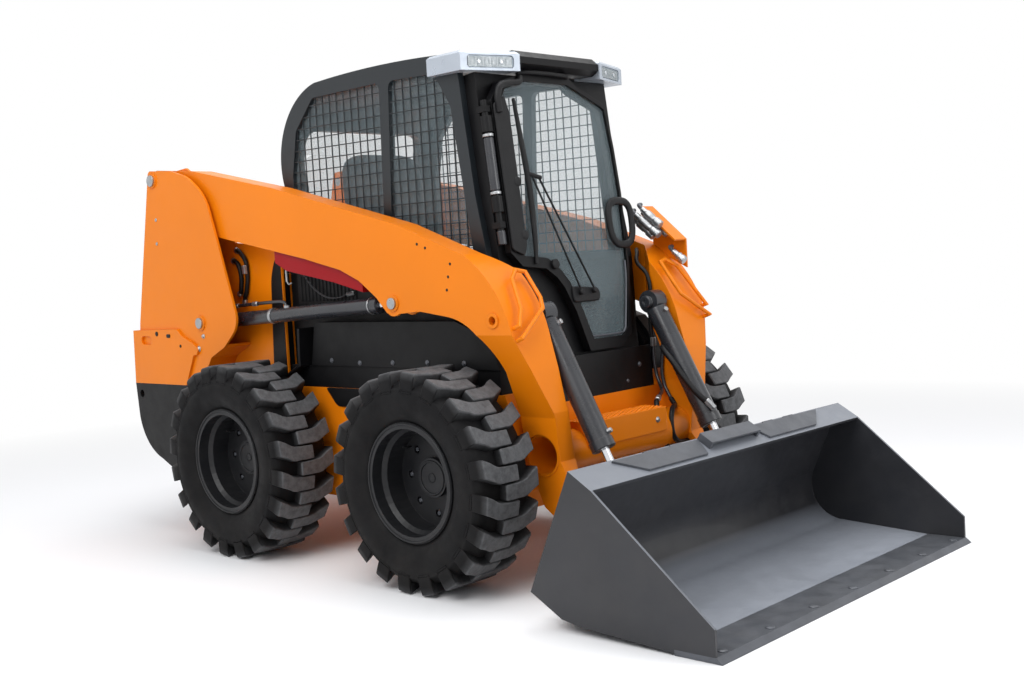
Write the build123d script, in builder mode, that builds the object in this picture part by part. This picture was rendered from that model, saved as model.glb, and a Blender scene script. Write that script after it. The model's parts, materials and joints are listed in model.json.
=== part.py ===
"""Skid steer loader on four wheels, with its bucket resting flat on the ground.

Millimetres. +X is forwards, +Y is the machine's left and +Z is up. The origin is on the ground, under the
middle of the machine's length, bucket included. The right-hand piece of each pair is drawn and its left-hand
twin is its mirror image in the plane y = 0.
"""

from build123d import *
import os
from math import hypot, radians, tan

os.makedirs("parts", exist_ok=True)

# Clearances
fit_gap = 0.05  # radial, between a pin and its bore
seat_gap = 0.2  # between pieces that are seated in each other
swing_gap = 6  # between a moving piece and what it passes

# Wheels
wheelbase = 1138
rear_axle_x = -774
front_axle_x = rear_axle_x + wheelbase
tyre_radius = 410  # over the lugs
axle_z = tyre_radius
tyre_half_width = 145
bead_half_width = 112
bead_radius = 206
bead_rise = 4  # the sidewall starts this far outside the rim's flange
bulge_radius = 305
tread_radius = 372
tread_half_width = 128
lug_count = 20  # in each of the two rows
lug_width = 40
lug_reach = 36  # half its length round the tyre, as its inner end leads its outer end
lug_overlap = 6  # past the tyre's middle
lug_slope = 14  # of its outer end
rim_flange_radius = 222
rim_wall = 8
rim_well_radius = 184
rim_shelf = -58  # where the rim steps in to its well
disc_inset = 20  # the wheel disc lies this far inboard of the tyre's middle
hub_radius = 74
wheel_bolt_circle_radius = 137
wheel_hole_radius = 15
wheel_hole_count = 8
shaft_radius = 38

# Main frame
frame_half_width = 500
wheel_y = frame_half_width + 190  # middle of the tyre
frame_bottom = 240
frame_top = 700
frame_front_x = 600
frame_rear_x = -1240
case_width = 120
plate = 12
rear_door_x = -1725
bay_rear_x = rear_door_x + 85
bay_bottom = 300
bulkhead_x = -739
bulkhead_top = 1185
axle_tube_radius = 76
axle_tube_end_y = frame_half_width + 104

# Towers, which carry the arms
tower_outer_y = frame_half_width + 130
tower_inner_y = frame_half_width - plate
tower_front_x = bulkhead_x + 15
pivot_x = -1467
pivot_z = 1645
pivot_pin_radius = 22
lift_base_x = -1156
lift_base_z = 984
lift_pin_radius = 20

# Lift arms
arm_outer_y = tower_outer_y - 30
arm_inner_y = tower_inner_y + swing_gap
knee_inner_y = frame_half_width - 100
arm_end_radius = 48
arm_plate = 12
lift_rod_x = 109
lift_rod_z = 1052
lobe_radius = 50
knee_bore_x = 633
knee_bore_z = 982
knee_bore_radius = 16
cross_tube_x = 699
cross_tube_z = 477
cross_tube_radius = 78
cross_tube_bore = 70
step_front_x = cross_tube_x + cross_tube_radius + 8
step_rear_x = cross_tube_x - 28
step_top_z = cross_tube_z + 102
step_foot_z = cross_tube_z + 8
step_left_y = 205
step_right_y = -280

# Lift cylinders
lift_cylinder_y = (arm_outer_y - arm_plate + arm_inner_y + arm_plate) / 2
lift_barrel_radius = 31
lift_rod_radius = 19
lift_eye_radius = 40
lift_eye_width = 60
lift_barrel_length = 1135
lift_barrel_foot = 0

# Bucket hinge, coupler and tilt cylinders
hinge_x = 855
hinge_z = 225
hinge_pin_radius = 20
hinge_boss_radius = 45
hinge_boss_inner_y = knee_inner_y - 5
hinge_boss_outer_y = knee_inner_y + 47
tilt_top_x = 643
tilt_top_z = 990
tilt_eye_x = 965
tilt_eye_z = 380
tilt_pin_radius = 20
tilt_y = knee_inner_y - 57
tilt_barrel_radius = 43
tilt_rod_radius = 18
tilt_barrel_length = 557
tilt_top_eye_radius = 46
tilt_top_eye_width = 66
tilt_barrel_foot = tilt_pin_radius + 16  # the barrel starts this far from its pin, clear of the pin's head
tilt_eye_radius = 35
tilt_eye_width = 50
tilt_draw_in = 75  # the rod's travel when the bucket rolls back
barrel_end_wall = 35
rod_end_play = 10
lug_plate = 14

# Bucket
bucket_half_width = 869
bucket_sheet = 10
bucket_side = 10
bucket_front_x = 1725
heel_x = 989
heel_z = 113
back_top_x = 1175
back_top_z = 525
lip_front_x = 1265
lip_front_z = 470
lip_plate = 8
edge_depth = 170
edge_thickness = 18
edge_bolt_pitch = 267
edge_bolt_count = 7
edge_bolt_radius = 9
edge_bolt_setback = 45
coupler_half_width = hinge_boss_outer_y + 98
coupler_height = 400
coupler_sheet = 12

# Cab
cab_half_width = frame_half_width - 60
cab_wall = 30
cab_sill_z = 1180
cab_rear_x = -724
cab_roof_z = 1991
roof_thickness = 40
seat_deck_z = 880
seat_deck_front_x = -80
footwell_z = 590

# Door, on a plane that leans back from its foot to its head
door_head_x = 455
door_head_z = 1900
door_foot_x = 570
door_foot_z = 815
door_half_width = cab_half_width - 55
door_thickness = 30
door_axis_y = -door_half_width - 25
door_post_radius = 13
door_handle_y = 338
clamp_width = 30
clamp_wall = 2  # in front of the post
cab_front_set_back = door_post_radius + 9 + swing_gap  # clear of the door's knuckles
cab_front_sheet = 12
cab_front_return = 70
latch_jamb_y = 365
latch_return = 110  # the front frame reaches this far back beside the latch
doorway_lap = 25  # the door laps over the frame by this
roof_visor_bottom = 1916

# Engine cover and rear door
hood_half_width = tower_inner_y - plate - swing_gap
hood_hinge_x = -745
hood_hinge_z = 1210
hood_rear_x = bay_rear_x
hood_rear_z = 1120
hood_sheet = 25
hood_pin_radius = 8
hood_lug = 14
hood_lug_ys = (300, -300)
rear_door_half_width = hood_half_width - 5
rear_door_pin_radius = 6
rear_door_pin_x = rear_door_x + 14
rear_door_pin_y = rear_door_half_width - 13
rear_door_thickness = 45
rear_door_bottom = 590
rear_door_top = 1085

pieces = {}

# ---------------------------------------------------------------- wheels

# The tyre is cut into flats, one to each lug of the two rows, whose lugs take turns.
flat_count = 2 * lug_count
flat_angle = 360 / flat_count
mitre = tan(radians(flat_angle / 2))
lug_foot_radius = tread_radius - 16

with BuildPart() as carcass_flat:
    with BuildSketch(Plane.YZ):
        with BuildLine():
            Polyline(
                (-bead_half_width, bead_radius),
                (-bead_half_width, rim_flange_radius + bead_rise),
                (-tyre_half_width, bulge_radius),
                (-tread_half_width, tread_radius),
                (tread_half_width, tread_radius),
                (tyre_half_width, bulge_radius),
                (bead_half_width, rim_flange_radius + bead_rise),
                (bead_half_width, bead_radius),
                close=True,
            )
        make_face()
    extrude(amount=lug_reach, both=True)
    with BuildSketch(Plane.XZ.offset(-tyre_half_width)):
        Polygon((0, 0), (tyre_radius * mitre, tyre_radius), (-tyre_radius * mitre, tyre_radius), align=None)
    extrude(amount=2 * tyre_half_width, mode=Mode.INTERSECT)

with BuildPart() as lug:
    with BuildSketch(Plane.XY.offset(lug_foot_radius)):
        Polygon(
            (-lug_reach, tread_half_width),
            (lug_width - lug_reach, tread_half_width),
            (lug_reach, -lug_overlap),
            (lug_reach + lug_overlap - lug_width, -lug_overlap),
            align=None,
        )
    extrude(amount=tyre_radius - lug_foot_radius)
    with BuildSketch(Plane.YZ.offset(-lug_reach)):
        Polygon(
            (-lug_overlap, lug_foot_radius),
            (-lug_overlap, tyre_radius),
            (tread_half_width - lug_slope, tyre_radius),
            (tread_half_width, lug_foot_radius),
            align=None,
        )
    extrude(amount=2 * lug_reach, mode=Mode.INTERSECT)

with BuildPart() as far_lug:
    mirror(lug.part, about=Plane.XZ)

around = [Location((0, 0, 0), (0, flat_angle * i, 0)) for i in range(flat_count)]
with BuildPart() as tyre:
    with Locations(*around):
        add(carcass_flat.part)
    with Locations(*around[0::2]):
        add(lug.part)
    with Locations(*around[1::2]):
        add(far_lug.part)

# The rim is drawn for the right-hand side, whose outer face looks along -Y.
# Like the tyre, it is cut in flats.
with BuildPart() as rim_flat:
    with BuildSketch(Plane.YZ):
        with BuildLine():
            seat = bead_radius - seat_gap
            face = bead_half_width + seat_gap
            Polyline(
                (-face - rim_wall, rim_flange_radius),
                (-face, rim_flange_radius),
                (-face, seat),
                (face, seat),
                (face, rim_flange_radius),
                (face + rim_wall, rim_flange_radius),
                (face + rim_wall, seat - rim_wall),
                (disc_inset + 12, rim_well_radius),
                (disc_inset + 12, 0),
                (disc_inset - 22, 0),
                (disc_inset - 22, hub_radius),
                (disc_inset, hub_radius),
                (disc_inset, rim_well_radius),
                (rim_shelf, rim_well_radius),
                (rim_shelf - 16, seat - rim_wall),
                (-face - rim_wall, seat - rim_wall),
                close=True,
            )
        make_face()
    extrude(amount=lug_reach, both=True)
    with BuildSketch(Plane.XZ.offset(-2 * face)):
        Polygon((0, 0), (tyre_radius * mitre, tyre_radius), (-tyre_radius * mitre, tyre_radius), align=None)
    extrude(amount=4 * face, mode=Mode.INTERSECT)

with BuildPart() as rim:
    with Locations(*around):
        add(rim_flat.part)
    with BuildSketch(Plane.XZ.offset(22 - disc_inset)):
        Circle(shaft_radius)
    extrude(amount=-(wheel_y - frame_half_width - 22 + disc_inset))
    with BuildSketch(Plane.XZ.offset(-disc_inset + 30)):
        with PolarLocations(wheel_bolt_circle_radius, wheel_hole_count):
            Circle(wheel_hole_radius)
    extrude(amount=-60, mode=Mode.SUBTRACT)

with BuildPart() as left_rim:
    mirror(rim.part, about=Plane.XZ)

# name, axle's x, side (-1 is right), rim
wheels = (
    ("front_right", front_axle_x, -1, rim),
    ("front_left", front_axle_x, 1, left_rim),
    ("rear_right", rear_axle_x, -1, rim),
    ("rear_left", rear_axle_x, 1, left_rim),
)
for wheel_name, wheel_x, side, wheel_rim in wheels:
    with BuildPart() as placed_tyre:
        with Locations((wheel_x, side * wheel_y, axle_z)):
            add(tyre.part)
    with BuildPart() as placed_rim:
        with Locations((wheel_x, side * wheel_y, axle_z)):
            add(wheel_rim.part)
    pieces["tyre_" + wheel_name] = placed_tyre
    pieces["rim_" + wheel_name] = placed_rim

# ---------------------------------------------------------------- main frame

case_inner_y = frame_half_width - case_width
side_plate_y = frame_half_width - plate

with BuildPart() as main_frame:
    # The closed chain cases down both sides.
    with BuildSketch(Plane.XZ.offset(case_inner_y)):
        with BuildLine():
            Polyline(
                (frame_rear_x, frame_bottom + 60),
                (frame_rear_x + 60, frame_bottom),
                (frame_front_x - 90, frame_bottom),
                (frame_front_x, frame_bottom + 90),
                (frame_front_x, frame_top - 60),
                (frame_front_x - 24, frame_top),
                (frame_rear_x, frame_top),
                close=True,
            )
        make_face()
    extrude(amount=case_width)
    # Side plates of the engine bay.
    with BuildSketch(Plane.XZ.offset(side_plate_y)):
        with BuildLine():
            Polyline(
                (bay_rear_x, bay_bottom + 120),
                (bay_rear_x + 120, bay_bottom),
                (frame_rear_x, bay_bottom),
                (frame_rear_x, frame_top),
                (bay_rear_x, frame_top),
                close=True,
            )
        make_face()
    extrude(amount=plate)
    mirror(about=Plane.XZ)
    # Belly pan, bent up at the rear, front plate and the bulkhead behind the cab.
    with BuildSketch(Plane.XZ.offset(-case_inner_y)):
        with BuildLine():
            Polyline(
                (frame_rear_x, frame_bottom),
                (frame_front_x - 90, frame_bottom),
                (frame_front_x, frame_bottom + 90),
                (frame_front_x, footwell_z + 50),
                (frame_front_x - plate, footwell_z + 50),
                (frame_front_x - plate, frame_bottom + 95),
                (frame_front_x - 95, frame_bottom + plate),
                (frame_rear_x, frame_bottom + plate),
                close=True,
            )
        make_face()
    extrude(amount=2 * case_inner_y)
    with BuildSketch(Plane.XZ.offset(-side_plate_y)):
        with BuildLine():
            Polyline(
                (frame_rear_x + plate, frame_bottom),
                (frame_rear_x, frame_bottom),
                (frame_rear_x - 60, bay_bottom),
                (bay_rear_x + 120, bay_bottom),
                (bay_rear_x + 120, bay_bottom + plate),
                (frame_rear_x - 60, bay_bottom + plate),
                (frame_rear_x + plate, frame_bottom + plate),
                close=True,
            )
        make_face()
    extrude(amount=2 * side_plate_y)
    with BuildSketch(Plane.XY.offset(frame_bottom)):
        with Locations((bulkhead_x - plate / 2, 0)):
            Rectangle(plate, 2 * case_inner_y)
    extrude(amount=frame_top - frame_bottom)
    with BuildSketch(Plane.XY.offset(frame_top)):
        with Locations((bulkhead_x - plate / 2, 0)):
            Rectangle(plate, 2 * (tower_inner_y - plate - seat_gap))
    extrude(amount=bulkhead_top - frame_top)
    # Lugs of the engine cover's two hinges.
    for lug_y in hood_lug_ys:
        with BuildSketch(Plane.XZ.offset(lug_y - hood_lug / 2)):
            with Locations((hood_hinge_x, (hood_hinge_z + bulkhead_top) / 2)):
                Rectangle(plate, hood_hinge_z - bulkhead_top)
            with Locations((hood_hinge_x, hood_hinge_z)):
                Circle(hood_pin_radius + 6)
        extrude(amount=hood_lug)
        with BuildSketch(Plane.XZ.offset(lug_y - 40)):
            with Locations((hood_hinge_x, hood_hinge_z)):
                Circle(hood_pin_radius)
        extrude(amount=80)
pieces["main_frame"] = main_frame

with BuildPart() as axle_housings:
    for axle_x in (front_axle_x, rear_axle_x):
        with BuildSketch(Plane.XZ.offset(frame_half_width)):
            with Locations((axle_x, axle_z)):
                Rectangle(220, 220)
        extrude(amount=16)
        with BuildSketch(Plane.XZ.offset(frame_half_width + 16)):
            with Locations((axle_x, axle_z)):
                Circle(axle_tube_radius)
        extrude(amount=axle_tube_end_y - frame_half_width - 16)
        with BuildSketch(Plane.XZ.offset(frame_half_width)):
            with Locations((axle_x, axle_z)):
                Circle(shaft_radius + fit_gap)
        extrude(amount=axle_tube_end_y - frame_half_width, mode=Mode.SUBTRACT)
    mirror(about=Plane.XZ)
pieces["axle_housings"] = axle_housings

# ---------------------------------------------------------------- towers and rear corner

pivot = (pivot_x, pivot_z)
lift_base = (lift_base_x, lift_base_z)
tower_rear_top = (-1497, 1693)
tower_rear_foot = (rear_door_x + 59, 986)

with BuildPart() as tower_right:
    with BuildSketch(Plane.XZ.offset(tower_outer_y - plate)):
        with BuildLine():
            Polyline(
                tower_rear_top,
                (-1312, 1677),
                (-1186, 1643),
                (-1057, 1552),
                (-986, 1343),
                (-870, 975),
                (-987, 876),
                (-1092, 829),
                (-1190, frame_top),
                (tower_rear_foot[0] - 40, frame_top),
                tower_rear_foot,
                close=True,
            )
        make_face()
        top_bend = vertices().filter_by_position(Axis.X, -1200, -1000)
        fillet(top_bend.filter_by_position(Axis.Y, 1500, 1660), radius=230)
        fillet(vertices().filter_by_position(Axis.X, -900, -860), radius=90)
        low_bend = vertices().filter_by_position(Axis.X, -1000, -980)
        fillet(low_bend.filter_by_position(Axis.Y, 860, 890), radius=60)
        fillet(vertices().group_by(Axis.Y)[-1], radius=24)
    extrude(amount=plate)
    # Raised bosses round both pins.
    with BuildSketch(Plane.XZ.offset(tower_outer_y)):
        with Locations(pivot, lift_base):
            Circle(34)
    extrude(amount=6)
    # Inner plate, with a folded front edge.
    with BuildSketch(Plane.XZ.offset(tower_inner_y - plate)):
        with BuildLine():
            Polyline(
                tower_rear_top,
                (-1400, 1700),
                (-1180, 1560),
                (-1050, 1335),
                (tower_front_x, 1300),
                (tower_front_x, frame_top),
                (tower_rear_foot[0], frame_top),
                tower_rear_foot,
                close=True,
            )
        make_face()
    extrude(amount=plate)
    # Rear closing plate between the two, open at the top for the arm's end.
    slope = (tower_rear_top[0] - tower_rear_foot[0]) / (tower_rear_top[1] - tower_rear_foot[1])
    close_top = 1540
    close_top_x = tower_rear_foot[0] + slope * (close_top - tower_rear_foot[1])
    with BuildSketch(Plane.XZ.offset(tower_inner_y)):
        with BuildLine():
            Polyline(
                (close_top_x, close_top),
                tower_rear_foot,
                (tower_rear_foot[0], frame_top),
                (tower_rear_foot[0] + plate, frame_top),
                (tower_rear_foot[0] + plate, tower_rear_foot[1]),
                (close_top_x + plate, close_top),
                close=True,
            )
        make_face()
    extrude(amount=tower_outer_y - plate - tower_inner_y)
    # Wheel arch plate that ties the two plates over the tyre.
    with BuildSketch(Plane.XZ.offset(tower_inner_y)):
        with BuildLine():
            Polyline(
                (tower_rear_foot[0] + plate, frame_top),
                (-1190, frame_top),
                (-1092, 829),
                (-987, 876),
                (-994, 888),
                (-1099, 841),
                (-1197, frame_top + plate),
                (tower_rear_foot[0] + plate, frame_top + plate),
                close=True,
            )
        make_face()
    extrude(amount=tower_outer_y - plate - tower_inner_y)
    # Bores for the pins.
    with BuildSketch(Plane.XZ.offset(tower_inner_y - plate)):
        with Locations(pivot):
            Circle(pivot_pin_radius + seat_gap)
        with Locations(lift_base):
            Circle(lift_pin_radius + seat_gap)
    extrude(amount=tower_outer_y + 6 - tower_inner_y + plate, mode=Mode.SUBTRACT)

with BuildPart() as tower_left:
    mirror(tower_right.part, about=Plane.XZ)

pieces["tower_right"] = tower_right
pieces["tower_left"] = tower_left

# Pins of the arms and of the lift cylinders' feet, each with a head outside its boss.
with BuildPart() as tower_pins:
    # position, radius
    for pin_place, pin_radius in ((pivot, pivot_pin_radius), (lift_base, lift_pin_radius)):
        with BuildSketch(Plane.XZ.offset(tower_inner_y - plate)):
            with Locations(pin_place):
                Circle(pin_radius)
        extrude(amount=tower_outer_y + 6 - tower_inner_y + plate)
        with BuildSketch(Plane.XZ.offset(tower_outer_y + 6)):
            with Locations(pin_place):
                Circle(pin_radius + 4)
        extrude(amount=8)
    mirror(about=Plane.XZ)
pieces["tower_pins"] = tower_pins

corner_outer_y = tower_outer_y + 12
with BuildPart() as corner_panels:
    with BuildSketch(Plane.XZ.offset(tower_outer_y)):
        with BuildLine():
            Polyline(
                (rear_door_x, frame_top),
                (rear_door_x + 12, 952),
                (-1341, 958),
                (-1300, 925),
                (-1220, 895),
                (-1175, 868),
                (-1190, 840),
                (-1215, 840),
                (-1291, frame_top),
                close=True,
            )
        make_face()
        step_corners = vertices().filter_by_position(Axis.X, -1345, -1170)
        fillet(step_corners.filter_by_position(Axis.Y, 830, 970), radius=10)
    extrude(amount=corner_outer_y - tower_outer_y)
    with BuildSketch(Plane.XZ.offset(tower_outer_y - 2)):
        with Locations((rear_door_x + 125, 905)):
            SlotOverall(90, 40)
    extrude(amount=20, mode=Mode.SUBTRACT)
    # Return across the rear, from the side to the rear door.
    with BuildSketch(Plane.XZ.offset(hood_half_width + swing_gap + 2)):
        with BuildLine():
            Polyline(
                (rear_door_x, frame_top),
                (rear_door_x + 12, 952),
                (rear_door_x + 27, 952),
                (rear_door_x + 15, frame_top),
                close=True,
            )
        make_face()
    extrude(amount=tower_outer_y - hood_half_width - swing_gap - 2)
    mirror(about=Plane.XZ)
pieces["corner_panels"] = corner_panels

# Dark guard round the foot of the rear, with tie-down holes.
guard_wall = 30
tie_down_radius = 18
tie_down_places = ((rear_door_x + 50, 650), (-1330, 650))
with BuildPart() as rear_guard:
    with BuildSketch(Plane.XZ.offset(-corner_outer_y)):
        with BuildLine():
            guard_top = Line((-1262, frame_top - seat_gap), (rear_door_x, frame_top - seat_gap))
            rear_face = Line(guard_top @ 1, (rear_door_x + 14, 540))
            belly_curve = ThreePointArc(rear_face @ 1, (rear_door_x + 85, 405), (rear_door_x + 185, 345))
            belly = Line(belly_curve @ 1, (-1420, 290))
            front = Line(belly @ 1, (-1262, 290))
            Line(front @ 1, guard_top @ 0)
        make_face()
    extrude(amount=2 * corner_outer_y)
    with BuildSketch(Plane.XY.offset(bay_bottom - 20)):
        with Locations(((rear_door_x + guard_wall + -1200) / 2, 0)):
            Rectangle(-1200 - rear_door_x - guard_wall, 2 * (corner_outer_y - guard_wall))
    extrude(amount=500, mode=Mode.SUBTRACT)
    with BuildSketch(Plane.YZ.offset(rear_door_x - 5)):
        with Locations((0, (rear_door_bottom - swing_gap + 760) / 2)):
            Rectangle(2 * (hood_half_width + swing_gap + 2), 760 - rear_door_bottom + swing_gap)
    extrude(amount=120, mode=Mode.SUBTRACT)
    with BuildSketch(Plane.XY.offset(rear_door_bottom - swing_gap - 40)):
        with Locations((rear_door_pin_x, rear_door_pin_y)):
            Circle(rear_door_pin_radius + fit_gap)
    extrude(amount=60, mode=Mode.SUBTRACT)
    with BuildSketch(Plane.XZ.offset(-corner_outer_y - 1)):
        with Locations(*tie_down_places):
            Circle(tie_down_radius)
    extrude(amount=2 * corner_outer_y + 2, mode=Mode.SUBTRACT)
pieces["rear_guard"] = rear_guard

# ---------------------------------------------------------------- lift arms

lift_rod_place = (lift_rod_x, lift_rod_z)
hinge = (hinge_x, hinge_z)
tilt_top = (tilt_top_x, tilt_top_z)
knee_start_x = 500  # the arm widens inwards from here
knee_end_x = 590
fold_z = 930  # below this the leg bends inwards
leg_depth_inside = knee_inner_y - 60  # nothing of the arm lies further in than this
boss_face_top = 376  # the leg's flat faces beside the coupler's lugs end here

# Bent rod that guards the hoses on the front of the right-hand knee
loop_radius = 8
loop_points = (
    (715, -580, 905),
    (754, -582, 919),
    (722, -430, 1015),
    (703, -418, 1053),
    (636, -418, 1148),
    (626, -462, 1158),
    (654, -511, 1126),
    (720, -544, 1019),
    (742, -580, 962),
    (705, -580, 950),
)
coupler_rear = (500, 1385)
coupler_front = (668, 1238)
coupler_mid_y = arm_outer_y - 75
coupler_web_y = 42  # half the guard plate's width
coupler_radius = 16
coupler_guard_z = -8  # its underside, from the bracket's top line
coupler_run = hypot(coupler_front[0] - coupler_rear[0], coupler_front[1] - coupler_rear[1])
coupler_plane = Plane(
    origin=(coupler_rear[0], coupler_mid_y, coupler_rear[1]),
    x_dir=(coupler_front[0] - coupler_rear[0], 0, coupler_front[1] - coupler_rear[1]),
    z_dir=(coupler_rear[1] - coupler_front[1], 0, coupler_front[0] - coupler_rear[0]),
)

with BuildPart() as lift_arm_right:
    with BuildSketch(Plane.XZ.offset(leg_depth_inside)):
        with BuildLine():
            top = Polyline((-1463, 1693), (-1186, 1667), (-603, 1547), (150, 1352), (knee_start_x, 1222))
            knee = ThreePointArc(top @ 1, (655, 1075), (727, 903))
            leg_front = Polyline(knee @ 1, (755, 800), (789, 640), (784, 460), (897, 240), (835, 186))
            leg_rear = Polyline(leg_front @ 1, (695, 287), (628, 440), (618, 600), (629, 790))
            under_knee = ThreePointArc(leg_rear @ 1, (535, 938), (400, 998))
            Polyline(
                under_knee @ 1,
                (256, 1019),
                (150, 1012),
                (72, 1014),
                (12, 1076),
                (-85, 1144),
                (-195, 1190),
                (-422, 1244),
                (-1018, 1362),
                (-1492, 1604),
                (-1515, 1645),
                top @ 0,
            )
        make_face()
        with Locations(pivot):
            Circle(arm_end_radius)
        with Locations(lift_rod_place):
            Circle(lobe_radius)
        with Locations(hinge):
            Circle(hinge_boss_radius)
    extrude(amount=arm_outer_y - leg_depth_inside)
    # The beam's inner face, which steps in to the wider knee.
    with BuildSketch(Plane.XY.offset(0)):
        with BuildLine():
            Polyline(
                (-1600, -leg_depth_inside + 1),
                (-1600, -arm_inner_y),
                (knee_start_x, -arm_inner_y),
                (knee_end_x, -knee_inner_y),
                (knee_end_x, -leg_depth_inside + 1),
                close=True,
            )
        make_face()
    extrude(amount=1800, mode=Mode.SUBTRACT)
    # The leg's two faces, seen from the front.
    with BuildSketch(Plane.YZ.offset(knee_start_x)):
        with BuildLine():
            Polyline(
                (-arm_outer_y - 1, fold_z),
                (-arm_outer_y, fold_z),
                (-arm_outer_y + 60, 785),
                (-hinge_boss_outer_y - 21, 620),
                (-hinge_boss_outer_y, 440),
                (-hinge_boss_outer_y, 150),
                (-arm_outer_y - 1, 150),
                close=True,
            )
        make_face()
        with BuildLine():
            Polyline(
                (-leg_depth_inside + 1, 1300),
                (-knee_inner_y, 1300),
                (-knee_inner_y, 660),
                (34 - knee_inner_y, 450),
                (-hinge_boss_inner_y, boss_face_top),
                (-hinge_boss_inner_y, 150),
                (-leg_depth_inside + 1, 150),
                close=True,
            )
        make_face()
    extrude(amount=500, mode=Mode.SUBTRACT)
    # Slot between the arm's plates for the lift cylinder's rod.
    slot_outer_y = arm_outer_y - arm_plate
    with BuildSketch(Plane.XZ.offset(arm_inner_y + arm_plate)):
        with BuildLine():
            Polyline(
                (-110, 900),
                (-110, 1130),
                (60, 1112),
                (lift_rod_x + lobe_radius + 12, 1100),
                (lift_rod_x + lobe_radius + 12, 900),
                close=True,
            )
        make_face()
    extrude(amount=slot_outer_y - arm_inner_y - arm_plate, mode=Mode.SUBTRACT)
    # Boss and bore at the knee, and the rod pin's boss.
    with BuildSketch(Plane.XZ.offset(arm_outer_y)):
        with Locations((knee_bore_x, knee_bore_z)):
            Circle(knee_bore_radius + 12)
        with Locations(lift_rod_place):
            Circle(32)
    extrude(amount=6)
    with BuildSketch(Plane.XZ.offset(arm_outer_y - 60)):
        with Locations((knee_bore_x, knee_bore_z)):
            Circle(knee_bore_radius)
    extrude(amount=70, mode=Mode.SUBTRACT)
    with BuildSketch(Plane.XZ.offset(leg_depth_inside)):
        with Locations(pivot):
            Circle(pivot_pin_radius + fit_gap)
        with Locations(hinge):
            Circle(hinge_pin_radius + fit_gap)
        with Locations((cross_tube_x, cross_tube_z)):
            Circle(cross_tube_radius + seat_gap)
    extrude(amount=arm_outer_y - leg_depth_inside, mode=Mode.SUBTRACT)
    # The beam and the leg are two weldments, butted where the arm widens.
    with BuildSketch(Plane.XZ.offset(leg_depth_inside)):
        with Locations((knee_start_x, fold_z)):
            Rectangle(seat_gap, 1000)
    extrude(amount=arm_outer_y - leg_depth_inside + 10, mode=Mode.SUBTRACT)

with BuildPart() as guard_loop:
    with BuildLine() as loop_line:
        Polyline(*loop_points)
    with BuildSketch(Plane(origin=loop_line.line @ 0, z_dir=loop_line.line % 0)):
        RegularPolygon(radius=loop_radius, side_count=8)
    sweep(path=loop_line.line, transition=Transition.RIGHT)

with BuildPart() as lift_arm_left:
    mirror(lift_arm_right.part, about=Plane.XZ)
    mirror(guard_loop.part, about=Plane.XZ)
    # Bracket of the hydraulic couplers, which stand on the left-hand arm's knee.
    with BuildSketch(Plane.XZ.offset(-coupler_mid_y - coupler_web_y)):
        with BuildLine():
            Polyline(
                (coupler_rear[0], coupler_rear[1] - 180),
                coupler_rear,
                coupler_front,
                (coupler_front[0], coupler_front[1] - 120),
                close=True,
            )
        make_face()
    extrude(amount=8)
    with BuildSketch(coupler_plane.offset(coupler_guard_z)):
        with Locations((coupler_run / 2, 0)):
            Rectangle(coupler_run, 2 * coupler_web_y)
    extrude(amount=8)
with BuildPart() as guarded_arm_right:
    add(lift_arm_right.part)
    add(guard_loop.part)
pieces["lift_arm_right"] = guarded_arm_right
pieces["lift_arm_left"] = lift_arm_left

with BuildPart() as cross_tube:
    with BuildSketch(Plane.XZ.offset(-hinge_boss_outer_y - 3)):
        with Locations((cross_tube_x, cross_tube_z)):
            Circle(cross_tube_radius)
            Circle(cross_tube_bore, mode=Mode.SUBTRACT)
    extrude(amount=2 * (hinge_boss_outer_y + 3))
pieces["cross_tube"] = cross_tube

# Tread box seated on the cross tube.
with BuildPart() as front_step:
    with BuildSketch(Plane.XZ.offset(-step_left_y)):
        with BuildLine():
            Polyline(
                (step_rear_x, step_top_z),
                (step_front_x, step_top_z),
                (step_front_x, step_foot_z),
                (cross_tube_x, step_foot_z),
                (step_rear_x, step_foot_z + 50),
                close=True,
            )
        make_face()
        with Locations((cross_tube_x, cross_tube_z)):
            Circle(cross_tube_radius + seat_gap, mode=Mode.SUBTRACT)
    extrude(amount=step_left_y - step_right_y)
pieces["front_step"] = front_step

# Hydraulic couplers under their bracket's guard plate: start and end along it, radius.
coupler_rings = (
    (10, 70, 13),
    (70, 120, coupler_radius),
    (120, 165, 12),
)
with BuildPart() as arm_couplers:
    coupler_z = coupler_guard_z - coupler_radius - seat_gap
    for line_y in (-coupler_radius - 1, coupler_radius + 1):
        for start_run, end_run, radius in coupler_rings:
            ring_start = coupler_plane.from_local_coords(Vector(start_run, line_y, coupler_z))
            with BuildSketch(Plane(ring_start, x_dir=(0, 1, 0), z_dir=coupler_plane.x_dir)):
                Circle(radius)
            extrude(amount=end_run - start_run)
pieces["arm_couplers"] = arm_couplers

# Heads of the rod pins and the stub pins that hold the tilt cylinders.
with BuildPart() as arm_pins:
    with BuildSketch(Plane.XZ.offset(arm_outer_y + 6)):
        with Locations(lift_rod_place):
            Circle(22)
    extrude(amount=8)
    with BuildSketch(Plane.XZ.offset(tilt_y - tilt_top_eye_width / 2 - 2)):
        with Locations(tilt_top):
            Circle(tilt_pin_radius)
    extrude(amount=knee_inner_y - tilt_y + tilt_top_eye_width / 2 + 2)
    with BuildSketch(Plane.XZ.offset(tilt_y - tilt_top_eye_width / 2 - 8)):
        with Locations(tilt_top):
            Circle(tilt_pin_radius + 4)
    extrude(amount=6)
    mirror(about=Plane.XZ)
pieces["arm_pins"] = arm_pins

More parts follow.
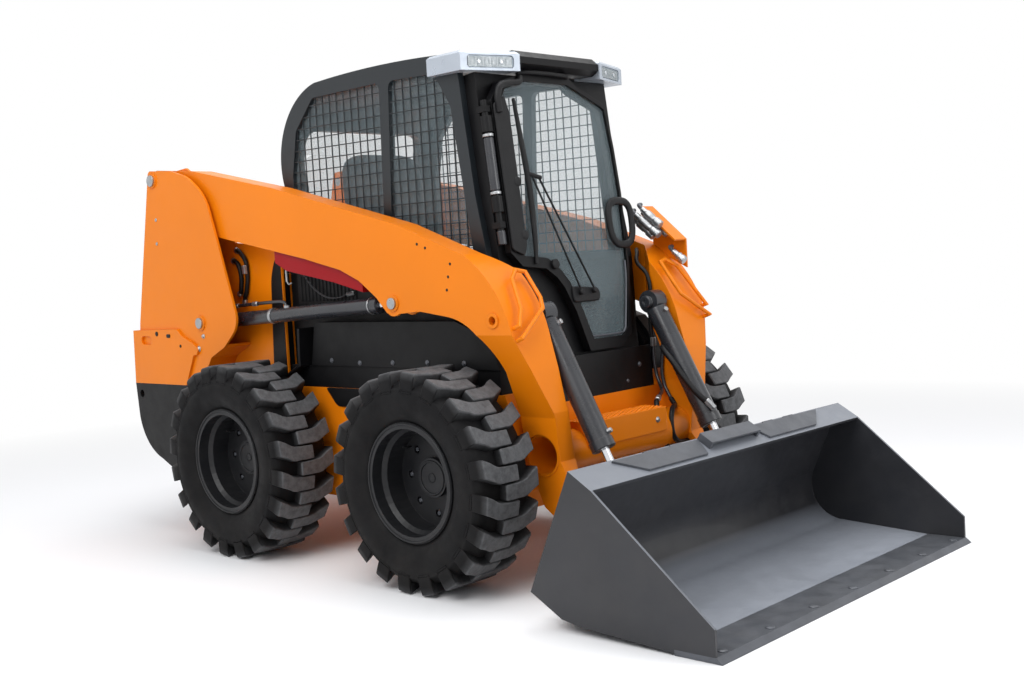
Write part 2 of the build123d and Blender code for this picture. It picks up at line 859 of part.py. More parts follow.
# Service strut, stowed under the right-hand arm.
strut_inner_y = arm_inner_y + arm_plate + 6
strut_outer_y = arm_outer_y - arm_plate - 6
with BuildPart() as support_strut:
    with BuildSketch(Plane.XZ.offset(strut_inner_y)):
        with BuildLine():
            Polyline(
                (-641, 1287),
                (-422, 1243.8),
                (-195, 1189.8),
                (-85, 1143.8),
                (-85, 1098),
                (-262, 1142),
                (-566, 1198),
                (-641, 1234),
                close=True,
            )
        make_face()
    extrude(amount=strut_outer_y - strut_inner_y)
pieces["support_strut"] = support_strut

# ---------------------------------------------------------------- cylinders

# name, foot (x, z), rod's eye (x, z), y, barrel radius, rod radius, barrel's start and length, foot eye's
# radius and width, foot pin's radius, rod eye's radius and width, length of the rod's own pin, how far the rod
# draws in from rest
cylinders = (
    (
        "lift", (lift_base_x, lift_base_z), lift_rod_place, lift_cylinder_y, lift_barrel_radius, lift_rod_radius,
        lift_barrel_foot, lift_barrel_length, lift_eye_radius, lift_eye_width, lift_pin_radius,
        lift_eye_radius, lift_eye_width, slot_outer_y - arm_inner_y - arm_plate - 2, 0,
    ),
    (
        "tilt", tilt_top, (tilt_eye_x, tilt_eye_z), tilt_y, tilt_barrel_radius, tilt_rod_radius,
        tilt_barrel_foot, tilt_barrel_length, tilt_top_eye_radius, tilt_top_eye_width, tilt_pin_radius,
        tilt_eye_radius, tilt_eye_width, 64, tilt_draw_in,
    ),
)
for (
    use, foot, eye, mid_y, barrel_radius, rod_radius, barrel_foot, barrel_length, foot_radius, foot_width,
    foot_pin, eye_radius, eye_width, pin_length, draw_in,
) in cylinders:
    length = hypot(eye[0] - foot[0], eye[1] - foot[1])
    along = Vector((eye[0] - foot[0]) / length, 0, (eye[1] - foot[1]) / length)
    start = Vector(foot[0], -mid_y, foot[1])
    axis_plane = Plane(origin=start, x_dir=(0, 1, 0), z_dir=along)
    bore_start = foot_radius + barrel_end_wall
    rod_start = bore_start + rod_end_play + draw_in
    with BuildPart() as barrel:
        with BuildSketch(axis_plane.offset(barrel_foot)):
            Circle(barrel_radius)
        extrude(amount=barrel_length - barrel_foot)
        with BuildSketch(axis_plane.offset(barrel_length - 36)):
            Circle(barrel_radius + 3)
        extrude(amount=34)
        with BuildSketch(Plane.XZ.offset(mid_y - foot_width / 2)):
            with Locations(foot):
                Circle(foot_radius)
        extrude(amount=foot_width)
        with BuildSketch(Plane.XZ.offset(mid_y - foot_width)):
            with Locations(foot):
                Circle(foot_pin + fit_gap)
        extrude(amount=2 * foot_width, mode=Mode.SUBTRACT)
        with BuildSketch(axis_plane.offset(bore_start)):
            Circle(rod_radius + fit_gap)
        extrude(amount=barrel_length, mode=Mode.SUBTRACT)
    with BuildPart() as rod:
        with BuildSketch(axis_plane.offset(rod_start)):
            Circle(rod_radius)
        extrude(amount=length - rod_start)
        with BuildSketch(Plane.XZ.offset(mid_y - eye_width / 2)):
            with Locations(eye):
                Circle(eye_radius)
        extrude(amount=eye_width)
        with BuildSketch(Plane.XZ.offset(mid_y - pin_length / 2)):
            with Locations(eye):
                Circle(foot_pin - 2)
        extrude(amount=pin_length)
    with BuildPart() as barrel_left:
        mirror(barrel.part, about=Plane.XZ)
    with BuildPart() as rod_left:
        mirror(rod.part, about=Plane.XZ)
    pieces[use + "_barrel_right"] = barrel
    pieces[use + "_barrel_left"] = barrel_left
    pieces[use + "_rod_right"] = rod
    pieces[use + "_rod_left"] = rod_left

# ---------------------------------------------------------------- bucket

back_length = hypot(back_top_x - heel_x, back_top_z - heel_z)
back_run = (back_top_x - heel_x) / back_length
back_rise = (back_top_z - heel_z) / back_length


def off_back(up, behind):
    """The point up the bucket's back plane from its heel, and behind that plane."""
    return (heel_x + up * back_run - behind * back_rise, heel_z + up * back_rise + behind * back_run)


with BuildPart() as bucket_shell:
    with BuildSketch(Plane.XZ.offset(-bucket_half_width + bucket_side)):
        with BuildLine():
            outer_top = Line((lip_front_x, lip_front_z), (back_top_x, back_top_z))
            outer_back = Line(outer_top @ 1, off_back(135, 0))
            outer_turn = ThreePointArc(outer_back @ 1, (1062, 92), (1190, 28))
            outer_floor = Line(outer_turn @ 1, (bucket_front_x - edge_depth, 6))
            step_up = Line(outer_floor @ 1, (bucket_front_x - edge_depth, 6 + bucket_sheet))
            inner_floor = Line(step_up @ 1, (1190, 28 + bucket_sheet))
            inner_turn = ThreePointArc(inner_floor @ 1, (1069, 99), off_back(138, -bucket_sheet))
            inner_back = Line(inner_turn @ 1, off_back(back_length - 16, -bucket_sheet))
            inner_lip = Line(inner_back @ 1, (lip_front_x - 5, lip_front_z - bucket_sheet))
            Line(inner_lip @ 1, outer_top @ 0)
        make_face()
    extrude(amount=2 * (bucket_half_width - bucket_side))
    for side_y in (-bucket_half_width, bucket_half_width - bucket_side):
        with BuildSketch(Plane.XZ.offset(-side_y - bucket_side)):
            with BuildLine():
                Polyline(
                    (lip_front_x, lip_front_z),
                    (back_top_x, back_top_z),
                    (heel_x, heel_z),
                    (1118, 41),
                    (1190, 28),
                    (bucket_front_x - edge_depth, 6),
                    (bucket_front_x - edge_depth, edge_thickness),
                    (bucket_front_x - 23, edge_thickness),
                    (bucket_front_x - 23, 101),
                    close=True,
                )
            make_face()
        extrude(amount=bucket_side)
pieces["bucket_shell"] = bucket_shell

# Plates on the bucket's lip, and the bracket between them.
lip_run = hypot(lip_front_x - back_top_x, back_top_z - lip_front_z)
lip_plane = Plane(
    origin=(back_top_x, 0, back_top_z),
    x_dir=(0, 1, 0),
    z_dir=(back_top_z - lip_front_z, 0, lip_front_x - back_top_x),
)
with BuildPart() as lip_plates:
    with BuildSketch(lip_plane.offset(seat_gap)):
        with BuildLine():
            Polyline(
                (170, -12),
                (204, 16 - lip_run),
                (545, 16 - lip_run),
                (660, -12),
                close=True,
            )
        make_face()
        with Locations((300, -12), (450, -12)):
            Rectangle(70, 12)
        mirror(about=Plane.YZ)
    extrude(amount=lip_plate)
    with BuildSketch(lip_plane.offset(seat_gap)):
        with Locations((0, -34)):
            Rectangle(320, 60)
    extrude(amount=28)
    with BuildSketch(lip_plane.offset(seat_gap)):
        with Locations((0, -44)):
            Rectangle(290, 60)
    extrude(amount=20, mode=Mode.SUBTRACT)
pieces["lip_plates"] = lip_plates

with BuildPart() as cutting_edge:
    with BuildSketch(Plane.XZ.offset(-bucket_half_width)):
        with BuildLine():
            Polyline(
                (bucket_front_x - edge_depth, 0),
                (bucket_front_x, 0),
                (bucket_front_x - 22, edge_thickness),
                (bucket_front_x - edge_depth, edge_thickness),
                close=True,
            )
        make_face()
    extrude(amount=2 * bucket_half_width)
    with BuildSketch(Plane.XY):
        with Locations((bucket_front_x - edge_bolt_setback, 0)):
            with GridLocations(1, edge_bolt_pitch, 1, edge_bolt_count):
                Circle(edge_bolt_radius)
    extrude(amount=edge_thickness, mode=Mode.SUBTRACT)
pieces["cutting_edge"] = cutting_edge

# Coupler: a plate on the bucket's back with four pairs of lugs.
lug_a_y = tilt_y - 33 - lug_plate
lug_b_y = tilt_y + 33
lug_c_y = hinge_boss_outer_y + 5
with BuildPart() as coupler_frame:
    with BuildSketch(Plane.XZ.offset(-coupler_half_width)):
        with BuildLine():
            Polyline(off_back(20, 0.3), off_back(20 + coupler_height, 0.3),
                     off_back(20 + coupler_height, 0.3 + coupler_sheet), off_back(20, 0.3 + coupler_sheet),
                     close=True)
        make_face()
    extrude(amount=2 * coupler_half_width)
    for lug_y in (lug_a_y, lug_b_y, lug_c_y):
        with BuildSketch(Plane.XZ.offset(lug_y)):
            with Locations(hinge):
                Circle(44)
            if lug_y < lug_c_y:
                with Locations((tilt_eye_x, tilt_eye_z)):
                    Circle(36)
            with Locations(off_back(40, 8), off_back(300, 8)):
                Circle(6)
            make_hull()
        extrude(amount=lug_plate)
    with BuildSketch(Plane.XZ.offset(lug_a_y)):
        with Locations(hinge):
            Circle(hinge_pin_radius)
    extrude(amount=lug_c_y + lug_plate + 8 - lug_a_y)
    mirror(about=Plane.XZ)
pieces["coupler_frame"] = coupler_frame

# ---------------------------------------------------------------- cab

inner_half = cab_half_width - cab_wall
pillar_front = ((361, 1976), (383, 1785), (424, 1445), (461, 1252), (472, cab_sill_z))


def cab_outline(inset):
    """The cab's profile from its rear sill over the roof to the front brow, drawn this far inside."""
    back = Line((cab_rear_x + inset, cab_sill_z), (cab_rear_x + inset, 1560))
    shoulder_middle = (-670 + 0.75 * inset, 1855 - 0.65 * inset)
    shoulder = ThreePointArc(back @ 1, shoulder_middle, (-478 + inset / 4, 1976 - inset))
    brow_x, brow_z = pillar_front[0]
    roof = ThreePointArc(shoulder @ 1, (-128, cab_roof_z - inset), (brow_x, brow_z - inset))
    return back @ 0, roof @ 1


def pane_sketch(pane, inset=0):
    """A window opening with rounded corners, drawn this far inside its edge."""
    with BuildSketch(Plane.XY, mode=Mode.PRIVATE) as opening:
        with BuildLine():
            Polyline(*pane, close=True)
        make_face()
        fillet(opening.vertices(), radius=28)
        if inset:
            offset(amount=-inset)
    return opening.sketch


# The two window openings of a side, rear one first
rear_pane = ((-660, 1212), (-660, 1600), (-621, 1788), (-497, 1915), (-73, 1922), (-98, 1212))
front_pane = ((-18, 1922), (242, 1915), (321, 1787), (365, 1476), (402, 1212), (-56, 1212))

with BuildPart() as cab_sides:
    with BuildSketch(Plane.XZ.offset(inner_half)):
        with BuildLine():
            sill_end = cab_outline(0)[0]
            Polyline(*pillar_front, sill_end)
        make_face()
        for pane in (rear_pane, front_pane):
            add(pane_sketch(pane), mode=Mode.SUBTRACT)
    extrude(amount=cab_wall)
    mirror(about=Plane.XZ)
pieces["cab_sides"] = cab_sides

# Roof and rear wall, one bent shell between the sides.
with BuildPart() as cab_shell:
    with BuildSketch(Plane.XZ.offset(-inner_half)):
        with BuildLine():
            outer_foot, outer_brow = cab_outline(0)
            inner_foot, inner_brow = cab_outline(roof_thickness)
            Line(outer_foot, inner_foot)
            Line(outer_brow, inner_brow)
        make_face()
    extrude(amount=2 * inner_half)
    with BuildSketch(Plane.YZ.offset(cab_rear_x - 5)):
        with Locations((0, 1480)):
            RectangleRounded(680, 440, 60)
    extrude(amount=roof_thickness + 10, mode=Mode.SUBTRACT)
pieces["cab_shell"] = cab_shell

with BuildPart() as rear_window:
    with BuildSketch(Plane.YZ.offset(cab_rear_x + 15)):
        with Locations((0, 1480)):
            RectangleRounded(680 - 2 * seat_gap, 440 - 2 * seat_gap, 60)
    extrude(amount=6)
pieces["rear_window"] = rear_window

# Side windows and the wire screens outside them.
wire = 4
wire_pitch = 45
screen_y = cab_half_width - 12
with BuildPart() as side_windows:
    with BuildSketch(Plane.XZ.offset(inner_half + 6)):
        for pane in (rear_pane, front_pane):
            add(pane_sketch(pane, seat_gap))
    extrude(amount=5)
    mirror(about=Plane.XZ)
with BuildPart() as side_screens:
    with BuildSketch(Plane.XZ.offset(screen_y)):
        with Locations((-128, 1570)):
            with GridLocations(wire_pitch, 1, 25, 1):
                Rectangle(wire, 800)
    extrude(amount=wire)
    with BuildSketch(Plane.XZ.offset(screen_y + wire + 0.4)):
        with Locations((-128, 1570)):
            with GridLocations(1, wire_pitch, 1, 17):
                Rectangle(1150, wire)
    extrude(amount=wire)
    with BuildSketch(Plane.XZ.offset(screen_y)):
        for pane in (rear_pane, front_pane):
            add(pane_sketch(pane))
    extrude(amount=2 * wire + 0.4, mode=Mode.INTERSECT)
    mirror(about=Plane.XZ)
pieces["side_windows"] = side_windows
pieces["side_screens"] = side_screens

deck = 12
floor_half_width = case_inner_y - seat_gap
tub_foot_z = frame_top
with BuildPart() as cab_tub:
    with BuildSketch(Plane.XZ.offset(inner_half)):
        with BuildLine():
            Polyline(
                (cab_rear_x, cab_sill_z),
                (472, cab_sill_z),
                (482, 900),
                (537, 820),
                (548, tub_foot_z),
                (cab_rear_x, tub_foot_z),
                close=True,
            )
        make_face()
    extrude(amount=cab_wall)
    mirror(about=Plane.XZ)
    with BuildSketch(Plane.XZ.offset(-inner_half)):
        with BuildLine():
            Polyline(
                (cab_rear_x, cab_sill_z),
                (cab_rear_x, seat_deck_z),
                (seat_deck_front_x, seat_deck_z),
                (seat_deck_front_x, tub_foot_z),
                (seat_deck_front_x + deck, tub_foot_z),
                (seat_deck_front_x + deck, seat_deck_z + deck),
                (cab_rear_x + deck, seat_deck_z + deck),
                (cab_rear_x + deck, cab_sill_z),
                close=True,
            )
        make_face()
    extrude(amount=2 * inner_half)
    with BuildSketch(Plane.XZ.offset(-floor_half_width)):
        with BuildLine():
            Polyline(
                (seat_deck_front_x, footwell_z),
                (frame_front_x - plate, footwell_z),
                (frame_front_x - plate, footwell_z + deck),
                (seat_deck_front_x + deck, footwell_z + deck),
                (seat_deck_front_x + deck, tub_foot_z),
                (seat_deck_front_x, tub_foot_z),
                close=True,
            )
        make_face()
    extrude(amount=2 * floor_half_width)
pieces["cab_tub"] = cab_tub

with BuildPart() as front_panel:
    with BuildSketch(Plane.XZ.offset(-floor_half_width)):
        with BuildLine():
            Polyline(
                (frame_front_x - plate, footwell_z + 50),
                (frame_front_x, footwell_z + 50),
                (frame_front_x - 10, 808),
                (frame_front_x - 22, 808),
                close=True,
            )
        make_face()
    extrude(amount=2 * floor_half_width)
pieces["front_panel"] = front_panel

cover_outer_y = frame_half_width + 6
with BuildPart() as side_covers:
    with BuildSketch(Plane.XZ.offset(cab_half_width)):
        with BuildLine():
            Polyline(
                (-535, 792),
                (-505, 955),
                (-480, 975),
                (340, 975),
                (480, 925),
                (538, 860),
                (560, 792),
                close=True,
            )
        make_face()
    extrude(amount=cover_outer_y - cab_half_width)
    with BuildSketch(Plane.XZ.offset(cab_half_width)):
        with Locations((-62, (frame_top + 792) / 2)):
            Rectangle(1240, 792 - frame_top)
    extrude(amount=cover_outer_y - 8 - cab_half_width)
    mirror(about=Plane.XZ)
pieces["side_covers"] = side_covers

# Lamp housings round the roof's front corners, and the visor between them.
light_bottom = 1902
light_top = 1976
light_inner_y = 240
lamp_corner = (430, -cab_half_width - 44)
lamp_end = (508, -light_inner_y)
lens_depth = 8
with BuildPart() as work_lights:
    with BuildSketch(Plane.XY.offset(light_bottom)):
        with BuildLine():
            Polyline(
                (238, -cab_half_width - 31),
                lamp_corner,
                lamp_end,
                (pillar_front[0][0] + 12, -light_inner_y),
                (pillar_front[0][0] + 12, -cab_half_width),
                (238, -cab_half_width),
                close=True,
            )
        make_face()
    extrude(amount=light_top - light_bottom)
    chamfer(edges().group_by(Axis.Z)[-1], length=10)
    # The lens lies in a shallow recess in the front face.
    lamp_run = Vector(lamp_end[0] - lamp_corner[0], lamp_end[1] - lamp_corner[1], 0).normalized()
    lamp_out = Vector(-lamp_run.Y, lamp_run.X, 0)
    lens_middle = Vector(*lamp_corner, (light_bottom + light_top) / 2 - 4) + lamp_run * 130
    with BuildSketch(Plane(origin=lens_middle - lamp_out * lens_depth, x_dir=lamp_run, z_dir=lamp_out)):
        RectangleRounded(200, 48, 14)
    extrude(amount=2 * lens_depth, mode=Mode.SUBTRACT)
    mirror(about=Plane.XZ)
pieces["work_lights"] = work_lights

with BuildPart() as roof_visor:
    with BuildSketch(Plane.XZ.offset(-light_inner_y)):
        with BuildLine():
            Polyline(
                (pillar_front[0][0], 1976),
                (470, 1986),
                (502, 1960),
                (502, 1935),
                (470, roof_visor_bottom),
                (400, roof_visor_bottom),
                (pillar_front[0][0], 1936),
                close=True,
            )
        make_face()
    extrude(amount=2 * light_inner_y)
pieces["roof_visor"] = roof_visor

# ---------------------------------------------------------------- cab door

door_rise = hypot(door_foot_x - door_head_x, door_head_z - door_foot_z)
door_up = Vector((door_head_x - door_foot_x) / door_rise, 0, (door_head_z - door_foot_z) / door_rise)
door_out = Vector(door_up.Z, 0, -door_up.X)
door_foot = Vector(door_foot_x, 0, door_foot_z)
door_plane = Plane(origin=door_foot, x_dir=(0, 1, 0), z_dir=door_out)
# Outline across and up the slope. The foot is cut back on the hinge side, so that it swings past the arm's
# knee and the tilt cylinder, and the daylight reaches nearly to the edge on the latch side.
door_outline = (
    (0, 0),
    (200, 0),
    (272, 50),
    (318, 330),
    (328, 628),
    (319, 812),
    (300, 984),
    (276, 1000),
    (132, 1056),
    (84, door_rise),
    (-190, door_rise),
    (-325, 1055),
    (-door_half_width, 980),
    (-door_half_width, 405),
    (-330, 352),
    (-200, 338),
    (-142, 300),
    (-107, 261),
    (-54, 161),
)
door_light = (
    (30, 46),
    (222, 46),
    (258, 80),
    (306, 335),
    (316, 628),
    (307, 806),
    (288, 972),
    (266, 984),
    (122, 1042),
    (68, 1062),
    (-172, 1062),
    (-300, 1026),
    (40 - door_half_width, 962),
    (40 - door_half_width, 424),
    (-312, 392),
    (-184, 378),
    (-114, 328),
    (-72, 282),
    (-18, 176),
)


def door_sketch(outline, inset, round_by=9):
    """A shape on the door's plane with rounded corners, drawn this far inside its edge."""
    with BuildSketch(Plane.XY, mode=Mode.PRIVATE) as shape:
        with BuildLine():
            Polyline(*outline, close=True)
        make_face()
        fillet(shape.vertices(), radius=round_by)
        if inset:
            offset(amount=-inset)
    return shape.sketch


with BuildPart() as door_frame:
    with BuildSketch(door_plane.offset(-door_thickness / 2)):
        add(door_sketch(door_outline, 0))
        add(door_sketch(door_light, 0), mode=Mode.SUBTRACT)
    extrude(amount=door_thickness)
    # Knuckles round the hinge post.
    for knuckle_up in (560, 860):
        knuckle_place = door_foot + door_up * knuckle_up + Vector(0, door_axis_y, 0)
        with BuildSketch(Plane(origin=knuckle_place, x_dir=(0, 1, 0), z_dir=door_up)):
            Circle(door_post_radius + 9)
            with Locations(((-door_half_width - door_axis_y) / 2 + 2, 0)):
                Rectangle(-door_half_width - door_axis_y + 4, 20)
            Circle(door_post_radius + fit_gap, mode=Mode.SUBTRACT)
        extrude(amount=60)
pieces["door_frame"] = door_frame

with BuildPart() as door_glass:
    with BuildSketch(door_plane.offset(-3)):
        add(door_sketch(door_light, seat_gap))
    extrude(amount=6)
pieces["door_glass"] = door_glass

with BuildPart() as door_handle:
    with BuildSketch(door_plane.offset(door_thickness / 2)):
        with Locations((door_handle_y, 500)):
            SlotOverall(190, 76, rotation=90)
            SlotOverall(130, 40, rotation=90, mode=Mode.SUBTRACT)
    extrude(amount=24)
pieces["door_handle"] = door_handle

with BuildPart() as door_post:
    post_low = door_foot + door_up * 480 + Vector(0, door_axis_y, 0)
    with BuildSketch(Plane(origin=post_low, x_dir=(0, 1, 0), z_dir=door_up)):
        Circle(door_post_radius)
    extrude(amount=500)
    # Clamps that hold the post to the cab's front frame.
    for clamp_up in (500, 935):
        clamp_foot = door_foot + door_up * clamp_up
        with BuildSketch(Plane(origin=clamp_foot, x_dir=(0, 1, 0), z_dir=door_up)):
            clamp_front = door_post_radius + clamp_wall
            clamp_rear = cab_front_set_back - seat_gap
            with Locations((door_axis_y, (clamp_rear - clamp_front) / 2)):
                Rectangle(clamp_width, clamp_rear + clamp_front)
        extrude(amount=24)
pieces["door_post"] = door_post

# The cab's front frame, behind the door: closed below to the floor, with returns along the cab's sides.
front_drop = latch_return * door_out.Z
sill_up = (frame_top + seat_gap + front_drop - door_foot_z) / door_up.Z
floor_up = (footwell_z + deck + seat_gap + front_drop - door_foot_z) / door_up.Z
front_head_up = (light_bottom - door_foot_z) / door_up.Z
front_outline = (
    (-floor_half_width, floor_up),
    (floor_half_width, floor_up),
    (floor_half_width, sill_up),
    (latch_jamb_y, sill_up),
    (latch_jamb_y, front_head_up),
    (seat_gap - inner_half, front_head_up),
    (seat_gap - inner_half, sill_up),
    (-floor_half_width, sill_up),
)
with BuildPart() as cab_front:
    with BuildSketch(door_plane.offset(-cab_front_set_back - cab_front_sheet)):
        with BuildLine():
            Polyline(*front_outline, close=True)
        make_face()
        add(door_sketch(door_outline, doorway_lap), mode=Mode.SUBTRACT)
    extrude(amount=cab_front_sheet)
    return_height = front_head_up - sill_up
    return_mid = (sill_up + front_head_up) / 2
    with BuildSketch(door_plane.offset(-cab_front_set_back - cab_front_return)):
        with Locations((-(inner_half - seat_gap - cab_front_sheet / 2), return_mid)):
            Rectangle(cab_front_sheet, return_height)
    extrude(amount=cab_front_return)
    # Beside the latch the frame turns back first, and then out to the pillar.
    with BuildSketch(door_plane.offset(-latch_return)):
        with Locations((latch_jamb_y - cab_front_sheet / 2, return_mid)):
            Rectangle(cab_front_sheet, return_height)
    extrude(amount=latch_return - cab_front_set_back)
    with BuildSketch(door_plane.offset(-latch_return)):
        with Locations(((latch_jamb_y + inner_half - seat_gap) / 2, return_mid)):
            Rectangle(inner_half - seat_gap - latch_jamb_y, return_height)
    extrude(amount=cab_front_sheet)
pieces["cab_front"] = cab_front

# ---------------------------------------------------------------- inside the cab

seat_half_width = inner_half - 170
console_y = inner_half - 90
with BuildPart() as seat_base:
    with BuildSketch(Plane.XY.offset(seat_deck_z + deck)):
        with Locations((-350, 0)):
            RectangleRounded(420, 2 * seat_half_width - 40, 40)
    extrude(amount=110)
pieces["seat_base"] = seat_base
with BuildPart() as seat_cushions:
    with BuildSketch(Plane.XZ.offset(-seat_half_width)):
        with BuildLine():
            Polyline((-560, 1002.3), (-140, 1002.3), (-120, 1050), (-140, 1095), (-540, 1080), close=True)
        make_face()
    extrude(amount=2 * seat_half_width)
    with BuildSketch(Plane.XZ.offset(10 - seat_half_width)):
        with BuildLine():
            Polyline((-545, 1080.3), (-450, 1083.8), (-520, 1640), (-560, 1700), (-620, 1690), close=True)
        make_face()
    extrude(amount=2 * (seat_half_width - 10))
pieces["seat_cushions"] = seat_cushions
with BuildPart() as controls:
    for lever_y in (-console_y, console_y):
        with BuildSketch(Plane.XY.offset(seat_deck_z + deck)):
            with Locations((-200, lever_y)):
                Rectangle(300, 90)
        extrude(amount=230)
        with BuildSketch(Plane.XY.offset(seat_deck_z + deck + 230)):
            with Locations((-90, lever_y)):
                Circle(12)
        extrude(amount=120)
        with BuildSketch(Plane.XY.offset(seat_deck_z + deck + 350)):
            with Locations((-90, lever_y)):
                Circle(24)
        extrude(amount=110)
pieces["controls"] = controls

# ---------------------------------------------------------------- engine bay

engine_rear_x = rear_door_x + 205
engine_front_x = -960
with BuildPart() as engine_block:
    with BuildSketch(Plane.XY.offset(bay_bottom + plate)):
        with Locations(((engine_rear_x + engine_front_x) / 2, 0)):
            Rectangle(engine_front_x - engine_rear_x, 520)
    extrude(amount=620)
pieces["engine_block"] = engine_block

with BuildPart() as engine_hood:
    with BuildSketch(Plane.XZ.offset(-hood_half_width)):
        with BuildLine():
            Polyline(
                (hood_hinge_x - 26, hood_hinge_z + 8),
                (-1100, hood_hinge_z + 6),
                (hood_rear_x, hood_rear_z),
                (hood_rear_x - 28, hood_rear_z - 28),
                (hood_rear_x, hood_rear_z - hood_sheet),
                (-1100, hood_hinge_z + 6 - hood_sheet),
                (hood_hinge_x - 26, hood_hinge_z + 8 - hood_sheet),
                close=True,
            )
        make_face()
    extrude(amount=2 * hood_half_width)
    for lug_y in hood_lug_ys:
        for knuckle_y in (lug_y - hood_lug / 2 - 26, lug_y + hood_lug / 2 + 2):
            with BuildSketch(Plane.XZ.offset(knuckle_y)):
                with Locations((hood_hinge_x, hood_hinge_z)):
                    Circle(hood_pin_radius + 7)
                with Locations((hood_hinge_x - 15, hood_hinge_z - 4)):
                    Rectangle(30, 18)
                with Locations((hood_hinge_x, hood_hinge_z)):
                    Circle(hood_pin_radius + fit_gap, mode=Mode.SUBTRACT)
            extrude(amount=24)
pieces["engine_hood"] = engine_hood

with BuildPart() as rear_door:
    with BuildSketch(Plane.XY.offset(rear_door_bottom)):
        with BuildLine():
            Polyline(
                (rear_door_x + 10, -rear_door_half_width),
                (rear_door_x, -rear_door_half_width + 10),
                (rear_door_x, rear_door_half_width - 10),
                (rear_door_x + 10, rear_door_half_width),
                (rear_door_x + rear_door_thickness, rear_door_half_width),
                (rear_door_x + rear_door_thickness, -rear_door_half_width),
                close=True,
            )
        make_face()
    extrude(amount=rear_door_top - rear_door_bottom)
    with BuildSketch(Plane.YZ.offset(rear_door_x - 1)):
        with Locations((0, (rear_door_bottom + rear_door_top) / 2 + 20)):
            with GridLocations(1, 30, 1, 11):
                Rectangle(620, 14)
    extrude(amount=rear_door_thickness + 2, mode=Mode.SUBTRACT)
    with BuildSketch(Plane.XY.offset(rear_door_bottom - swing_gap - 30)):
        with Locations((rear_door_pin_x, rear_door_pin_y)):
            Circle(rear_door_pin_radius)
    extrude(amount=swing_gap + 30)
pieces["rear_door"] = rear_door

for name, piece in pieces.items():
    piece.part.label = name
    export_step(piece.part, f"parts/{name}.step")
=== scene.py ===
"""Looks for a skid steer loader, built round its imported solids.

All places and sizes are metres in the shared frame: x runs to the front, y to the left and z up. A piece
that is there on both sides is written for the right-hand side and mirrored for the left.
"""

import json
import math

import bmesh
import bpy
import numpy as np
from mathutils import Matrix


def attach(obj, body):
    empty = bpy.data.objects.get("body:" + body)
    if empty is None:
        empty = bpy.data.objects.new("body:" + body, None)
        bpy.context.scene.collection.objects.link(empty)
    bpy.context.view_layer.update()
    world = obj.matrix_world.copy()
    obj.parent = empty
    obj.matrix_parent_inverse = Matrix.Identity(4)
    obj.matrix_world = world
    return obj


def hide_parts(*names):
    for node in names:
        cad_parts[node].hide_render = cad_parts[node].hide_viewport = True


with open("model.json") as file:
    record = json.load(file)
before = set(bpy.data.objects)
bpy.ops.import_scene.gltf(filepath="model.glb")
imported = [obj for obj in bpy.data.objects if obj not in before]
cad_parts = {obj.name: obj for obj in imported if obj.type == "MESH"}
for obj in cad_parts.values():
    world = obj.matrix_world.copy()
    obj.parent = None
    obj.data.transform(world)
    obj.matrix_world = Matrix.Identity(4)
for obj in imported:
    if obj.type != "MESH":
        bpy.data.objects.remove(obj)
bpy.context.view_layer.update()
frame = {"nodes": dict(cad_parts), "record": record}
nodes = frame["nodes"]
scene = bpy.context.scene

# -------------------- materials


class Shader:
    """A node tree being written, with short calls for the nodes that every finish here uses."""

    def __init__(self, name):
        self.material = bpy.data.materials.new(name)
        self.material.use_nodes = True
        self.tree = self.material.node_tree
        self.tree.nodes.clear()
        self.place = self.node("ShaderNodeTexCoord").outputs["Object"]

    def node(self, kind, inputs=(), **settings):
        """A new node with these of its own settings, and its inputs given by name or by number."""
        made = self.tree.nodes.new(kind)
        for key, value in settings.items():
            setattr(made, key, value)
        for key, value in dict(inputs).items():
            self.feed(made.inputs[key], value)
        return made

    def feed(self, socket, value):
        """Links another node's output to the socket, or sets a plain value on it."""
        if isinstance(value, bpy.types.NodeSocket):
            self.tree.links.new(value, socket)
        else:
            socket.default_value = value

    def noise(self, scale, detail=3.0, rough=0.55, stretch=None):
        """Noise of the place on the piece, squeezed along the axes where stretch is given."""
        where = self.place
        if stretch:
            where = self.node("ShaderNodeMapping", {"Vector": where, "Scale": stretch}).outputs["Vector"]
        made = self.node("ShaderNodeTexNoise", {"Vector": where, "Scale": scale, "Detail": detail,
                                                "Roughness": rough})
        return made.outputs["Fac"]

    def ramp(self, value, low, high, start=0.0, end=1.0):
        """start below low, end above high, and a straight line between them."""
        made = self.node("ShaderNodeMapRange", {"Value": value, "From Min": low, "From Max": high,
                                                "To Min": start, "To Max": end}, clamp=True)
        return made.outputs["Result"]

    def math(self, kind, a, b=0.0):
        """One sum or product of two values."""
        return self.node("ShaderNodeMath", {0: a, 1: b}, operation=kind).outputs[0]

    def mix(self, share, a, b):
        """Colour a, or b where share is 1."""
        return self.node("ShaderNodeMix", {"Factor": share, 6: a, 7: b}, data_type="RGBA").outputs[2]

    def upward(self, vector):
        """The z part of a vector."""
        return self.node("ShaderNodeSeparateXYZ", {0: vector}).outputs[2]

    def attribute(self, name):
        """A number kept on the mesh's own points."""
        return self.node("ShaderNodeAttribute", attribute_name=name).outputs["Fac"]

    def finished(self, surface):
        """The material, with this shader as its surface."""
        self.node("ShaderNodeOutputMaterial", {"Surface": surface.outputs[0]})
        return self.material


def rgb(*steps):
    """A colour given in 0..255 display steps, as linear light: ((c + 0.055) / 1.055) ** 2.4."""
    return (*(((c / 255 + 0.055) / 1.055) ** 2.4 for c in steps), 1.0)


def scaled(colour, share):
    """A colour's light times this share, never above 1."""
    return (*(min(1.0, c * share) for c in colour[:3]), 1.0)


